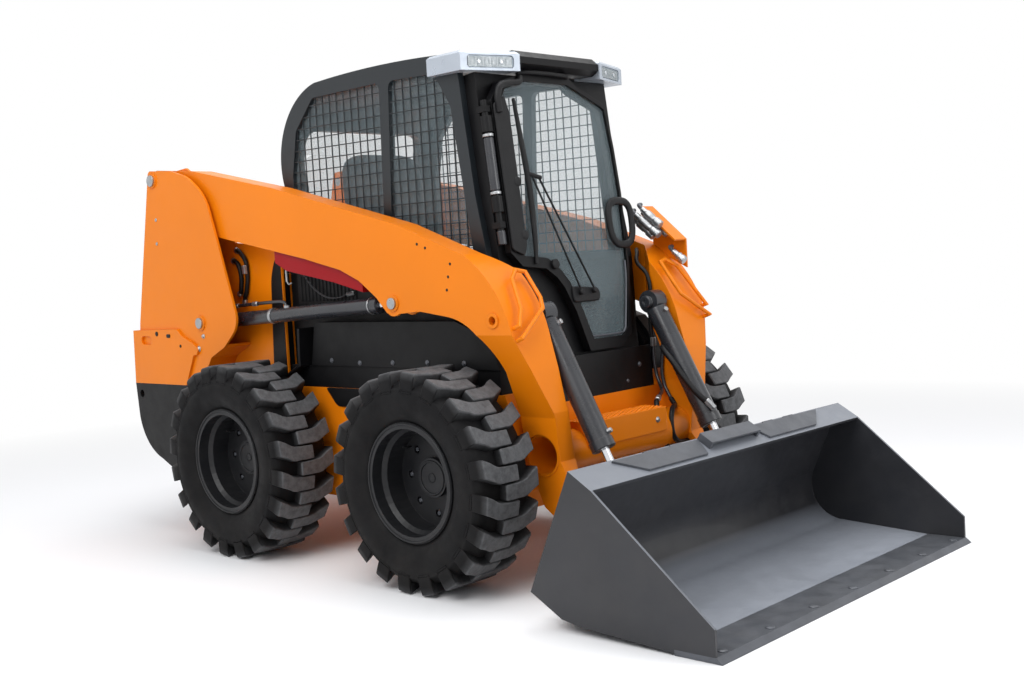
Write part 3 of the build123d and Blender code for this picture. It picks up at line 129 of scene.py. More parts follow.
def finish(name, colour, rough, metal=0.0, vary=0.08, patch=2.2, grain=900.0, depth=0.15, spread=0.1,
           dust=0.0, coat=0.0, wear=None, soften=0.003, sheen=0.0, gloss=0.5, top_sheen=None):
    """A painted, moulded or bare surface.

    The colour drifts by a broad noise, the roughness by a finer one, and the bump is the finest.
    dust adds a pale film that fades with height. wear names a vertex attribute whose high values
    show the paler colour given with it. soften rounds hard edges in the light, gloss is the shader's
    own specular level, and the last colour is a painted sheen of top light on faces whose normal points up.
    """
    s = Shader(name)
    base = s.mix(s.ramp(s.noise(patch, 5.0, 0.6), 0.3, 0.7), scaled(colour, 1 - vary),
                 scaled(colour, 1 + vary))
    if wear:
        attribute, worn, amount = wear
        patchy = s.ramp(s.noise(38.0, 4.0, 0.7), 0.3, 0.62, 0.55, 1.0)
        share = s.math("MULTIPLY", s.math("MULTIPLY", s.attribute(attribute), patchy), amount)
        base = s.mix(share, base, worn)
    # Painted sheen: faces whose normal points up turn a paler blue-grey, in streaks, standing in for top
    # light
    if top_sheen:
        level = s.upward(s.node("ShaderNodeTexCoord").outputs["Normal"])
        sheen_streaks = s.ramp(s.noise(3.5, 6.0, 0.65, (1.0, 0.35, 1.0)), 0.25, 0.7, 0.7, 1.0)
        base = s.mix(s.math("MULTIPLY", s.ramp(level, 0.55, 0.98), sheen_streaks), base, top_sheen)
    if dust:
        film = s.ramp(s.upward(s.place), 0.0, 0.9, dust, dust * 0.12)
        spots = s.ramp(s.noise(6.0, 6.0, 0.65), 0.35, 0.7)
        base = s.mix(s.math("MULTIPLY", film, spots), base, rgb(150, 140, 128))
    bump = s.node("ShaderNodeBump", {"Strength": depth, "Distance": 0.001,
                                     "Height": s.noise(grain, 2.0, 0.5)})
    if soften:
        soft = s.node("ShaderNodeBevel", {"Radius": soften}, samples=4)
        s.feed(bump.inputs["Normal"], soft.outputs["Normal"])
    shader = s.node("ShaderNodeBsdfPrincipled", {
        "Base Color": base,
        "Roughness": s.ramp(s.noise(14.0, 4.0, 0.6), 0.3, 0.7, rough - spread, rough + spread),
        "Metallic": metal, "Coat Weight": coat, "Coat Roughness": 0.08, "Sheen Weight": sheen,
        "Specular IOR Level": gloss, "Normal": bump.outputs["Normal"],
    })
    return s.finished(shader)


def glass(name, tint, cover, rough=0.03):
    """A pane that lets most light straight through and keeps a sheen. Its tint and cover drift by noise."""
    s = Shader(name)
    shader = s.node("ShaderNodeBsdfPrincipled", {
        "Base Color": s.mix(s.noise(1.6, 2.0), tint, scaled(tint, 0.9)),
        "Roughness": s.ramp(s.noise(9.0), 0.3, 0.7, rough, rough + 0.05),
        "Alpha": s.ramp(s.noise(2.4, 3.0), 0.3, 0.7, cover * 0.85, cover * 1.15),
    })
    return s.finished(shader)


looks = {
    "tyre": finish("tyre_rubber", rgb(13, 13, 15), 0.62, vary=0.25, patch=9.0, grain=520.0, depth=0.35,
                   spread=0.12, dust=0.03, wear=("worn", rgb(104, 105, 107), 0.85), soften=0.002, gloss=0.14),
    "rim": finish("rim_paint", rgb(26, 27, 30), 0.42, vary=0.14, patch=6.0, dust=0.03, gloss=0.3),
    "orange_paint": finish("orange_paint", rgb(231, 125, 6), 0.36, vary=0.05, patch=1.1, grain=260.0,
                           depth=0.05, spread=0.06, coat=0.04, dust=0.02, soften=0.004, gloss=0.24),
    "black_paint": finish("black_paint", rgb(13, 13, 15), 0.42, vary=0.18, patch=2.6, dust=0.02, gloss=0.2),
    "cab_paint": finish("cab_paint", rgb(28, 33, 37), 0.38, vary=0.12, patch=2.0, coat=0.12, gloss=0.35),
    "pin_steel": finish("pin_steel", rgb(168, 170, 172), 0.36, metal=0.9, vary=0.14, patch=24.0, grain=700.0),
    "red_paint": finish("red_paint", rgb(146, 10, 20), 0.36, vary=0.08, coat=0.05, gloss=0.15),
    "cylinder_paint": finish("cylinder_paint", rgb(38, 40, 45), 0.3, vary=0.12, patch=4.0, coat=0.25,
                             dust=0.03),
    "rod_chrome": finish("rod_chrome", rgb(214, 216, 220), 0.14, metal=1.0, vary=0.04, spread=0.05,
                         depth=0.02),
    # The bucket's pale blue-grey on its upward faces is a painted sheen of the light from above
    "bucket_paint": finish("bucket_paint", rgb(40, 41, 45), 0.4, vary=0.13, patch=3.2, grain=340.0,
                           depth=0.12, coat=0.1, dust=0.03, gloss=0.4, top_sheen=rgb(148, 153, 162)),
    "edge_steel": finish("edge_steel", rgb(84, 87, 93), 0.4, metal=0.3, vary=0.16, patch=11.0, dust=0.04),
    "window_glass": glass("window_glass", rgb(166, 184, 190), 0.16),
    "lamp_silver": finish("lamp_silver", rgb(176, 184, 194), 0.36, metal=0.4, vary=0.06, patch=5.0,
                          grain=300.0),
    "black_plastic": finish("black_plastic", rgb(18, 18, 20), 0.45, vary=0.12, patch=5.0, grain=1400.0,
                            depth=0.4, gloss=0.25),
    "seat_cloth": finish("seat_cloth", rgb(48, 50, 54), 0.85, vary=0.16, patch=8.0, grain=1600.0, depth=0.6,
                         sheen=0.3),
}
for row in frame["record"]["subparts"]:
    mesh = nodes[row["node"]].data
    mesh.materials.clear()
    mesh.materials.append(looks[row["material_slot"]])

# -------------------- stage, lights and camera


def floor_material():
    """Pale floor that keeps shadows near the machine and turns to plain white further out, by distance."""
    s = Shader("floor")
    distance = s.node("ShaderNodeVectorMath", {0: s.place}, operation="LENGTH").outputs["Value"]
    far = s.ramp(distance, 2.6, 6.0)  # where the fade starts and ends
    shader = s.node("ShaderNodeBsdfPrincipled", {
        "Base Color": s.mix(s.noise(0.8), rgb(250, 250, 250), rgb(247, 247, 248)), "Roughness": 0.9})
    plain = s.node("ShaderNodeEmission")
    return s.finished(s.node("ShaderNodeMixShader", {0: far, 1: shader.outputs[0], 2: plain.outputs[0]}))


def add_mesh(name, points, faces, material, smooth=True):
    """An object at the origin, its points already in the shared frame and its faces turned outwards."""
    mesh = bpy.data.meshes.new(name)
    mesh.from_pydata(np.asarray(points, float).tolist(), [], [tuple(map(int, f)) for f in faces])
    shells = bmesh.new()
    shells.from_mesh(mesh)
    bmesh.ops.recalc_face_normals(shells, faces=shells.faces)
    shells.to_mesh(mesh)
    shells.free()
    mesh.materials.append(material)
    mesh.shade_smooth() if smooth else mesh.shade_flat()
    made = bpy.data.objects.new(name, mesh)
    scene.collection.objects.link(made)
    return made


floor = add_mesh("floor", [(-30, -30, -0.001), (30, -30, -0.001), (30, 30, -0.001), (-30, 30, -0.001)],
                 [(0, 1, 2, 3)], floor_material(), smooth=False)

# The world: a soft grey-blue on what is dull, and plain white where it is seen, mirrored or seen through
world = bpy.data.worlds.new("studio")
scene.world = world
world.use_nodes = True
tree = world.node_tree
tree.nodes.clear()
rays = tree.nodes.new("ShaderNodeLightPath")
direct, seen = [tree.nodes.new("ShaderNodeMath") for _ in range(2)]
direct.operation = seen.operation = "MAXIMUM"
tree.links.new(rays.outputs["Is Camera Ray"], direct.inputs[0])
tree.links.new(rays.outputs["Is Transmission Ray"], direct.inputs[1])
tree.links.new(direct.outputs[0], seen.inputs[0])
tree.links.new(rays.outputs["Is Glossy Ray"], seen.inputs[1])
choice = tree.nodes.new("ShaderNodeMixShader")
tree.links.new(seen.outputs[0], choice.inputs[0])
for socket, colour, strength in ((1, (0.93, 0.95, 1.0, 1.0), 0.55), (2, (1.0, 1.0, 1.0, 1.0), 1.0)):
    sky = tree.nodes.new("ShaderNodeBackground")
    sky.inputs["Color"].default_value = colour
    sky.inputs["Strength"].default_value = strength
    tree.links.new(sky.outputs[0], choice.inputs[socket])
tree.links.new(choice.outputs[0], tree.nodes.new("ShaderNodeOutputWorld").inputs["Surface"])


def panel_light(name, place, target, width, height, watts):
    """A soft rectangular light at place that faces target."""
    light = bpy.data.lights.new(name, "AREA")
    light.shape = "RECTANGLE"
    light.size = width
    light.size_y = height
    light.energy = watts
    made = bpy.data.objects.new(name, light)
    scene.collection.objects.link(made)
    back = np.subtract(place, target) / np.linalg.norm(np.subtract(place, target))
    right = np.cross((0.0, 0.0, 1.0), back)
    right /= np.linalg.norm(right)
    up = np.cross(back, right)
    made.matrix_world = Matrix([*np.stack([right, up, back, place], -1).tolist(), (0, 0, 0, 1)])


panel_light("key", (1.0, -4.5, 4.6), (0, 0, 0.7), 4.0, 3.0, 165)
panel_light("top", (0.2, 0.4, 5.2), (0, 0.01, 0), 5.0, 4.0, 190)
panel_light("front", (6.0, 0.5, 2.6), (0, 0, 0.9), 3.0, 3.0, 75)

camera_data = bpy.data.cameras.new("camera")
camera_data.lens = 44.62
camera_data.sensor_width = 36.0
camera = bpy.data.objects.new("camera", camera_data)
scene.collection.objects.link(camera)
camera.matrix_world = Matrix((
    (0.73387932, -0.00936742, 0.67921528, 3.7546),
    (0.67691455, 0.0934562, -0.73010453, -3.8647),
    (-0.05663768, 0.99557932, 0.07492651, 1.2173),
    (0.0, 0.0, 0.0, 1.0),
))
scene.camera = camera
scene.view_settings.view_transform = "Standard"

# -------------------- surfaces


def grid_faces(rows, columns, wrap_rows=False, wrap_columns=True):
    """Quads of a grid of points numbered row by row, closed round either way where asked."""
    i = np.arange(rows if wrap_rows else rows - 1)[:, None]
    j = np.arange(columns if wrap_columns else columns - 1)[None, :]
    a = i * columns + j
    b = i * columns + (j + 1) % columns
    c = (i + 1) % rows * columns + (j + 1) % columns
    d = (i + 1) % rows * columns + j
    return np.stack([a, b, c, d], -1).reshape(-1, 4)


def joined(parts):
    """Several (points, faces) pairs as one pair."""
    points, faces, start = [], [], 0
    for p, f in parts:
        p = np.asarray(p, float).reshape(-1, 3)
        points.append(p)
        faces += [[k + start for k in face] for face in f]
        start += len(p)
    return np.concatenate(points), faces


def turned(profile, centre, axis, count=64, closed=False):
    """A surface of revolution: a profile of (along, radius) rows turned about an axis.

    With t the angle, point = centre + along * axis + radius * (cos t * u + sin t * v), where u and v
    are square to the axis. An open profile is closed by a fan at each end, a closed one meets itself.
    """
    axis = np.asarray(axis, float) / np.linalg.norm(axis)
    u = np.cross(axis, (0.0, 0.0, 1.0) if abs(axis[2]) < 0.9 else (1.0, 0.0, 0.0))
    u /= np.linalg.norm(u)
    v = np.cross(axis, u)
    t = np.linspace(0, 2 * np.pi, count, endpoint=False)
    ring = np.cos(t)[:, None] * u + np.sin(t)[:, None] * v
    profile = np.asarray(profile, float)
    points = np.asarray(centre) + profile[:, 0, None, None] * axis + profile[:, 1, None, None] * ring
    points = points.reshape(-1, 3)
    faces = [*grid_faces(len(profile), count, wrap_rows=closed)]
    if not closed:
        last = (len(profile) - 1) * count
        faces += [range(count)[::-1], range(last, last + count)]
    return points, faces


x_axis, y_axis, z_axis = np.eye(3)
both = (-1, 1)
side_names = {-1: "right", 1: "left"}
flips = {side: np.array([1.0, -side, 1.0]) for side in both}  # what a right-hand point is multiplied by

# -------------------- tyres

tyre_radius = axle_height = 0.41
wheel_middle = 0.69  # the tyres' middle planes, from the middle of the machine
wheels = {f"{end}_{side_names[side]}": (x, side * wheel_middle)
          for end, x in (("front", 0.364), ("rear", -0.774)) for side in both}


def tyre_mesh(name, x, y, z=axle_height, lugs=20):
    """A tyre: a smooth turned casing, and two rows of closed lugs.

    A lug is a closed ring of eight points carried along a path that starts on the side wall, climbs
    the shoulder and crosses the tread. At distance s along it the path has a width, a base radius, a
    height and a lead angle; a ring point = axle + (radius * sin, across, radius * cos) of its angle.
    """
    casing = np.array([(-0.108, 0.208), (-0.112, 0.227), (-0.121, 0.234), (-0.125, 0.243), (-0.133, 0.256),
                       (-0.141, 0.28), (-0.1445, 0.305), (-0.1435, 0.326), (-0.1395, 0.339), (-0.1405, 0.343),
                       (-0.139, 0.347), (-0.134, 0.351), (-0.124, 0.362), (-0.108, 0.3695), (-0.06, 0.3735),
                       (0.0, 0.375)])
    casing = np.concatenate([casing, casing[-2::-1] * (-1, 1)])
    t = np.linspace(0, 2 * np.pi, 120, endpoint=False)
    points = np.stack([x + casing[:, 1, None] * np.sin(t), y + casing[:, 0, None] + 0 * t,
                       z + casing[:, 1, None] * np.cos(t)], -1)
    body = (points, grid_faces(len(casing), len(t), wrap_rows=True)[:, ::-1])
    # across, base radius, top radius, lead along the tread, half width at the top
    path = np.array([
        (0.1370, 0.316, 0.326, -0.022, 0.030), (0.1420, 0.332, 0.350, -0.022, 0.032),
        (0.1395, 0.346, 0.379, -0.021, 0.033), (0.1350, 0.354, 0.4030, -0.020, 0.0335),
        (0.1300, 0.358, 0.4094, -0.018, 0.0335), (0.1000, 0.364, 0.4100, -0.005, 0.0325),
        (0.0720, 0.366, 0.4100, 0.0110, 0.0310), (0.0560, 0.367, 0.4100, 0.0150, 0.0300),
        (0.0300, 0.367, 0.4100, 0.0160, 0.0285), (0.0000, 0.367, 0.4100, 0.0165, 0.0285),
        (-0.0300, 0.367, 0.4097, 0.0165, 0.0280), (-0.0340, 0.367, 0.4050, 0.0165, 0.0265)])
    across, base, top, lead, half = (path[:, k, None] for k in range(5))
    # each ring's points: share of the half width, and share of the height
    ring = np.array([(-1.13, 0.0), (-1.03, 0.8), (-0.98, 0.96), (-0.91, 1.0),
                     (0.91, 1.0), (0.98, 0.96), (1.03, 0.8), (1.13, 0.0)])
    radius = base + (top - base) * ring[:, 1]
    offset = lead + half * ring[:, 0]
    pitch = 2 * np.pi / lugs
    parts, worn = [body], [np.zeros(points[..., 0].size)]
    for side, shift in ((1, 0.0), (-1, 0.5)):
        angle = (np.arange(lugs) + shift)[:, None, None] * pitch + offset / tyre_radius
        lug = np.stack([x + radius * np.sin(angle), y + side * across + 0 * angle,
                        z + radius * np.cos(angle)], -1)
        count = lug.shape[1] * lug.shape[2]
        caps = [np.arange(lug.shape[2])[::-1], np.arange(count - lug.shape[2], count)]
        faces = [f[::side] for f in [*grid_faces(lug.shape[1], lug.shape[2]), *caps]]
        # only the tops are worn, and their edges a little
        shade = np.where(radius > 0.404, 1.0, np.where(radius > 0.395, 0.35, 0.0)) + 0 * offset
        for k in range(lugs):
            parts.append((lug[k], faces))
            worn.append(shade.reshape(-1))
    points, faces = joined(parts)
    made = add_mesh(name, points, faces, looks["tyre"])
    mesh = made.data
    mesh.attributes.new("worn", "FLOAT", "POINT").data.foreach_set("value", np.concatenate(worn))
    mesh.set_sharp_from_angle(angle=math.radians(38))
    return made


for label, (x, y) in wheels.items():
    tyre = tyre_mesh(f"tyre_shown_{label}", x, y)
    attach(tyre, f"wheel_{label}")
    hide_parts(f"tyre_{label}")

# -------------------- shared forms for the small pieces


def rounded(corners, radius, steps=5):
    """A closed outline with its corners rounded: each becomes the curve (1-t)^2 A + 2t(1-t) P + t^2 B.

    A and B lie on the corner's two edges, radius away from it, or less where an edge is short.
    """
    p = np.asarray(corners, float)
    back, ahead = np.roll(p, 1, 0) - p, np.roll(p, -1, 0) - p
    far_back = np.linalg.norm(back, axis=1, keepdims=True)
    far_ahead = np.linalg.norm(ahead, axis=1, keepdims=True)
    a = p + back / far_back * np.minimum(radius, 0.45 * far_back)
    b = p + ahead / far_ahead * np.minimum(radius, 0.45 * far_ahead)
    t = np.linspace(0, 1, steps)[None, :, None]
    return ((1 - t) ** 2 * a[:, None] + 2 * t * (1 - t) * p[:, None] + t ** 2 * b[:, None]).reshape(-1, 2)


def plate(outline, origin, across, up, thickness, rim=0.002):
    """A plate with soft rims. The outline lies in the plane of across and up and rises along their normal.

    Ring k is the outline moved in by w_k along the mean normal of its neighbours, at height h_k, with
    (w, h) = (rim, 0), (0, rim), (0, thickness - rim), (rim, thickness).
    """
    p = np.asarray(outline, float)
    run = np.roll(p, -1, 0) - np.roll(p, 1, 0)
    inwards = np.stack([-run[:, 1], run[:, 0]], -1)
    inwards /= np.maximum(np.linalg.norm(inwards, axis=1, keepdims=True), 1e-9)
    area = np.sum(p[:, 0] * np.roll(p[:, 1], -1) - np.roll(p[:, 0], -1) * p[:, 1])
    inwards *= np.sign(area)
    across, up = np.asarray(across, float), np.asarray(up, float)
    normal = np.cross(across, up)
    steps = np.array([(rim, 0), (0, rim), (0, thickness - rim), (rim, thickness)])
    flat = p[None] + inwards[None] * steps[:, 0, None, None]
    points = (np.asarray(origin, float) + flat[..., :1] * across + flat[..., 1:] * up
              + steps[:, 1, None, None] * normal).reshape(-1, 3)
    n = len(p)
    return points, [*grid_faces(4, n), range(n)[::-1], range(3 * n, 4 * n)]


def smooth_path(points, steps=6):
    """A curve through the points: on each span the cubic whose end slopes are half its neighbours' chord."""
    p = np.asarray(points, float)
    if len(p) < 3:
        return p
    p = np.concatenate([2 * p[:1] - p[1:2], p, 2 * p[-1:] - p[-2:-1]])
    a, b, c, d = p[:-3, None], p[1:-2, None], p[2:-1, None], p[3:, None]
    t = np.linspace(0, 1, steps, endpoint=False)[None, :, None]
    curve = 0.5 * (2 * b + (c - a) * t + (2 * a - 5 * b + 4 * c - d) * t ** 2
                   + (3 * b - a - 3 * c + d) * t ** 3)
    return np.concatenate([curve.reshape(-1, p.shape[1]), p[-2:-1]])


def tube(path, radius, sides=12, steps=6, ripple=None):
    """A bar or hose along a smooth path, with softened flat ends.

    point = path(s) + r(s) * (cos t * u + sin t * v), where v is square to the path and to its best
    plane's normal u. ripple = (count, share) makes r swell and shrink as a sine for a ribbed hose.
    """
    p = np.asarray(path, float)
    r = np.broadcast_to(np.asarray(radius, float), (len(p),))[:, None]
    line = smooth_path(np.concatenate([p, r], 1), steps)
    c, r = line[:, :3], line[:, 3]
    if ripple:
        ribs, share = ripple
        fine, coarse = np.linspace(0, 1, ribs * 6), np.linspace(0, 1, len(c))
        c = np.stack([np.interp(fine, coarse, c[:, k]) for k in range(3)], -1)
        r = np.interp(fine, coarse, r) * (1 + share * np.sin(2 * np.pi * ribs * fine))
    tangent = np.gradient(c, axis=0)
    tangent /= np.linalg.norm(tangent, axis=1, keepdims=True)
    u0 = np.linalg.svd(c - c.mean(0))[2][2]
    v = np.cross(tangent, u0)
    v /= np.linalg.norm(v, axis=1, keepdims=True)
    u = np.cross(v, tangent)
    rim = 0.22 * r[[0, -1]]
    c = np.concatenate([c[:1], c[:1] + tangent[:1] * rim[0], c[1:-1], c[-1:] - tangent[-1:] * rim[1], c[-1:]])
    r = np.concatenate([r[:1] * 0.78, r[:1], r[1:-1], r[-1:], r[-1:] * 0.78])
    u = np.concatenate([u[:1], u, u[-1:]])
    v = np.concatenate([v[:1], v, v[-1:]])
    t = np.linspace(0, 2 * np.pi, sides, endpoint=False)[None, :, None]
    ring = np.cos(t) * u[:, None] + np.sin(t) * v[:, None]
    points = (c[:, None] + r[:, None, None] * ring).reshape(-1, 3)
    last = (len(c) - 1) * sides
    return points, [*grid_faces(len(c), sides), range(sides)[::-1], range(last, last + sides)]


def bolt(centre, axis, radius=0.009, height=0.007):
    """A hexagon head on its washer: two profiles turned about the axis, the head's with six sides."""
    axis = np.asarray(axis, float) / np.linalg.norm(axis)
    washer = turned([(-0.001, radius * 1.2), (0.0, radius * 1.35), (0.0012, radius * 1.35),
                     (0.002, radius * 1.25)], centre, axis, 16)
    head = turned([(0.001, radius), (height * 0.8, radius), (height, radius * 0.82)], centre, axis, 6)
    return joined([washer, head])


def button(centre, axis, radius, height):
    """A low dome turned about the axis."""
    return turned([(-0.001, radius), (height * 0.45, radius), (height * 0.85, radius * 0.8),
                   (height, radius * 0.35)], centre, axis, 20)


def ring_band(centre, axis, inner, outer, width):
    """A ring with softened rims, turned about the axis and closed on itself."""
    soft = (outer - inner) * 0.25
    profile = [(0, inner), (0, outer - soft), (soft, outer),
               (width - soft, outer), (width, outer - soft), (width, inner)]
    return turned(profile, centre, axis, 32, closed=True)


def show(name, parts, finish_name, body, angle=35, stands_for=None):
    """Joins closed surfaces in one piece with a finish and a body to ride on."""
    points, faces = joined(parts)
    made = add_mesh(name, points, faces, looks[finish_name])
    made.data.set_sharp_from_angle(angle=math.radians(angle))
    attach(made, body)
    if stands_for:
        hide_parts(stands_for)
    return made


def mirrored(parts, side):
    """The parts as they are for the right-hand side (-1), or with y turned to -y for the left (1)."""
    return [(np.asarray(points, float).reshape(-1, 3) * flips[side], faces) for points, faces in parts]


def box_outline(left, low, right, high):
    """The four corners of an upright rectangle, in a plate's own plane."""
    return [(left, low), (right, low), (right, high), (left, high)]


def read_points(mesh):
    """A mesh's points as an array of rows."""
    flat = np.empty(len(mesh.vertices) * 3)
    mesh.vertices.foreach_get("co", flat)
    return flat.reshape(-1, 3)


def evaluated(thing):
    """An object as its modifiers leave it now."""
    return thing.evaluated_get(bpy.context.evaluated_depsgraph_get())


# -------------------- wheel nuts and hubs

bolt_circle, rim_face = 0.137, 0.020

for label, (x, y) in wheels.items():
    side = np.sign(y)
    face = y - side * rim_face
    t = np.arange(8) * np.pi / 4
    nuts = [bolt((x + bolt_circle * np.sin(a), face - side * 0.016, axle_height + bolt_circle * np.cos(a)),
                 side * y_axis, 0.0095, 0.014) for a in t]
    show(f"wheel_nuts_{label}", nuts, "edge_steel", f"wheel_{label}")
    hub = (x, y + side * 0.002, axle_height)
    hub_parts = [
        turned([(0, 0.056), (0.004, 0.058), (0.004, 0.064), (0, 0.066), (-0.002, 0.061)],
               hub, side * y_axis, 48, closed=True),
        button(hub, side * y_axis, 0.018, 0.005),
        turned([(0, 0.212), (0.0035, 0.2135), (0.004, 0.218), (0.001, 0.2205), (-0.002, 0.217)],
               (x, y + side * 0.1202, axle_height), side * y_axis, 64, closed=True),
    ]
    valve_x, valve_z = x - 0.128, axle_height + 0.105
    hub_parts.append(tube([(valve_x, face - side * 0.002, valve_z), (valve_x, face + side * 0.02, valve_z),
                           (valve_x - 0.006, face + side * 0.036, valve_z + 0.005)], 0.0042, 10))
    show(f"hub_rings_{label}", hub_parts, "rim", f"wheel_{label}")

# -------------------- door furniture

door_foot = np.array([0.570, 0.0, 0.815])
door_up = np.array([-0.1054, 0.0, 0.99443])  # the door leans back by 6 degrees
door_out = np.array([0.99443, 0.0, 0.1054])


def on_door(across, up, out):
    """A point of the door's plane: across to the left, up the slope and out to the front, in metres."""
    return door_foot + across * y_axis + up * door_up + out * door_out


def shaped(wave, power):
    """A sine or cosine drawn towards a square: sign(w) |w|^power."""
    return np.sign(wave) * np.abs(wave) ** power


def grip_ring(across, up, out, half_width, half_height):
    """The door's grip: an oval ring in its own plane, with an oval section.

    The middle line is (half_width cos^0.7 a, half_height sin^0.7 a), a little wider at its top. At each
    of its points the section is 0.0165 cos s sideways + 0.0115 sin s outwards.
    """
    a = np.linspace(0, 2 * np.pi, 40, endpoint=False)[:, None]
    line = on_door(across + (half_width + 0.006 * np.sin(a)) * shaped(np.cos(a), 0.7),
                   up + half_height * shaped(np.sin(a), 0.7), out)
    ahead = np.roll(line, -1, 0) - np.roll(line, 1, 0)
    ahead /= np.linalg.norm(ahead, axis=1, keepdims=True)
    sideways = np.cross(ahead, door_out)
    s = np.linspace(0, 2 * np.pi, 12, endpoint=False)[None, :, None]
    points = line[:, None] + 0.0165 * np.cos(s) * sideways[:, None] + 0.0115 * np.sin(s) * door_out
    return points.reshape(-1, 3), grid_faces(40, 12, wrap_rows=True)


show("door_grip", [grip_ring(0.283, 0.503, 0.027, 0.074, 0.09)],
     "black_plastic", "cab_door", 60, "door_handle")

stile = rounded([(-0.383, 0.415), (-0.318, 0.390), (-0.300, 0.430),
                 (-0.300, 0.930), (-0.318, 1.000), (-0.383, 0.965)], 0.015)
show("door_stile_cover", [plate(stile, on_door(0, 0, 0.0155), y_axis, door_up, 0.010, 0.003)],
     "black_plastic", "cab_door")
knob = [(0, 0.014), (0.010, 0.014), (0.011, 0.020), (0.022, 0.020), (0.026, 0.015), (0.027, 0.004)]
show("door_knobs", [turned(knob, on_door(a, u, 0.003), door_out, 28)
                    for a, u in ((-0.308, 0.672), (-0.305, 0.470), (-0.151, 0.352))],
     "black_plastic", "cab_door")
blade = [on_door(*row) for row in ((-0.268, 0.990, 0.022), (-0.255, 0.800, 0.024), (-0.245, 0.640, 0.024),
                                   (-0.250, 0.480, 0.023), (-0.258, 0.357, 0.020))]
wiper = [tube(blade, [0.007, 0.011, 0.012, 0.011, 0.007], 10)]
for top, foot in (((-0.232, 0.690), (-0.030, 0.236)), ((-0.196, 0.686), (0.052, 0.239))):
    wiper.append(tube([on_door(*top, 0.034), on_door(*foot, 0.034)], 0.0042, 8))
    wiper.append(turned([(0.0, 0.012), (0.012, 0.012), (0.016, 0.009)], on_door(*foot, 0.024), door_out, 16))
wiper.append(tube([on_door(-0.248, 0.700, 0.032), on_door(-0.186, 0.684, 0.036)], 0.009, 10))
wiper.append(plate(rounded([(-0.070, 0.196), (0.095, 0.196), (0.095, 0.246), (-0.070, 0.262)], 0.02),
                   on_door(0, 0, 0.004), y_axis, door_up, 0.020, 0.004))
show("wiper", wiper, "black_plastic", "cab_door")
# The lower pane's edge seal, as a tube: its light steel colour is a painted highlight on the seal
seal_highlight_path = [on_door(a, u, 0.009) for a, u in ((0.298, 0.350), (0.290, 0.270), (0.250, 0.095), (0.236, 0.066),
                                          (0.214, 0.057), (0.120, 0.056), (0.030, 0.057))]
show("door_seal_highlight", [tube(seal_highlight_path, 0.0042, 8, 5)], "edge_steel", "cab_door")
duct = [on_door(*row) for row in ((-0.360, 0.930, 0.028), (-0.362, 0.990, 0.030), (-0.345, 1.030, 0.032),
                                  (-0.290, 1.046, 0.032), (-0.235, 1.052, 0.030), (-0.212, 1.075, 0.020))]
show("door_duct", [tube(duct, 0.0135, 14)], "black_plastic", "cab_door")

# Sleeves round the hinge post, with their collars
post_y = -0.410
long_sleeve = [(0, 0.0165), (0.004, 0.0195), (0.196, 0.0195), (0.200, 0.0165)]
short_sleeve = [(0, 0.014), (0.003, 0.0165), (0.050, 0.0165), (0.053, 0.014)]
show("post_sleeve", [turned(long_sleeve, on_door(post_y, 0.640, 0), door_up, 28),
                     turned(short_sleeve, on_door(post_y, 0.438, 0), door_up, 28)],
     "cylinder_paint", "chassis")
show("post_collars", [ring_band(on_door(post_y, u, 0), door_up, 0.0135, 0.0215, 0.012)
                      for u in (0.626, 0.842)], "pin_steel", "chassis")

# -------------------- lamps and visor

lamp_run, lamp_out = np.array([0.3045, 0.9525, 0.0]), np.array([0.9525, -0.3045, 0.0])
lamp_middle, recess = np.array([0.4696, -0.3602, 1.935]), 0.0078


def reflector(columns=80, rows=9):
    """A fluted sheet in front of a flat one, closed by a wall round their edge.

    With a across and b up, the front sheet lies 0.0045 - 0.0028 |sin 105 a| (1 - (b / 0.021)^2) before
    the flat one, which is at the recess's depth.
    """
    a, b = np.meshgrid(np.linspace(-0.094, 0.094, columns), np.linspace(-0.019, 0.019, rows), indexing="ij")
    bowl = 0.0045 - 0.0028 * np.abs(np.sin(a * 105)) * (1 - (b / 0.021) ** 2)
    flat = lamp_middle + a[..., None] * lamp_run + b[..., None] * z_axis
    sheets = np.stack([flat - (recess - bowl)[..., None] * lamp_out, flat - recess * lamp_out])
    quads = grid_faces(columns, rows, wrap_columns=False)
    edge = np.concatenate([np.arange(rows), np.arange(2, columns) * rows - 1,
                           a.size - 1 - np.arange(rows), np.arange(columns - 2, 0, -1) * rows])
    wall = np.stack([edge, np.roll(edge, -1), np.roll(edge, -1) + a.size, edge + a.size], -1)
    return sheets.reshape(-1, 3), np.concatenate([quads, quads[:, ::-1] + a.size, wall[:, ::-1]])


lens = plate(rounded(box_outline(-0.097, -0.021, 0.097, 0.021), 0.012),
             lamp_middle - 0.0022 * lamp_out, lamp_run, z_axis, 0.0024, 0.0008)
reflectors, lenses, bulbs = [], [], []
for side in both:
    reflectors += mirrored([reflector()], side)
    lenses += mirrored([lens], side)
    bulbs += [button((lamp_middle + shift * lamp_run - 0.004 * lamp_out) * flips[side],
                     lamp_out * flips[side], 0.009, 0.0035) for shift in (-0.048, 0.048)]
show("lamp_reflectors", reflectors, "pin_steel", "chassis", 60)
show("lamp_bulbs", bulbs, "rod_chrome", "chassis")
show("lamp_lenses", lenses, "window_glass", "chassis")
hose = [(0.470, -0.222, 1.900), (0.481, -0.180, 1.9055), (0.486, -0.100, 1.9065),
        (0.487, -0.030, 1.906), (0.484, 0.045, 1.9045), (0.466, 0.078, 1.902)]
show("visor_hose", [tube(hose, 0.0085, 14, 6, ripple=(34, 0.14))], "black_plastic", "chassis", 60)

# -------------------- both sides

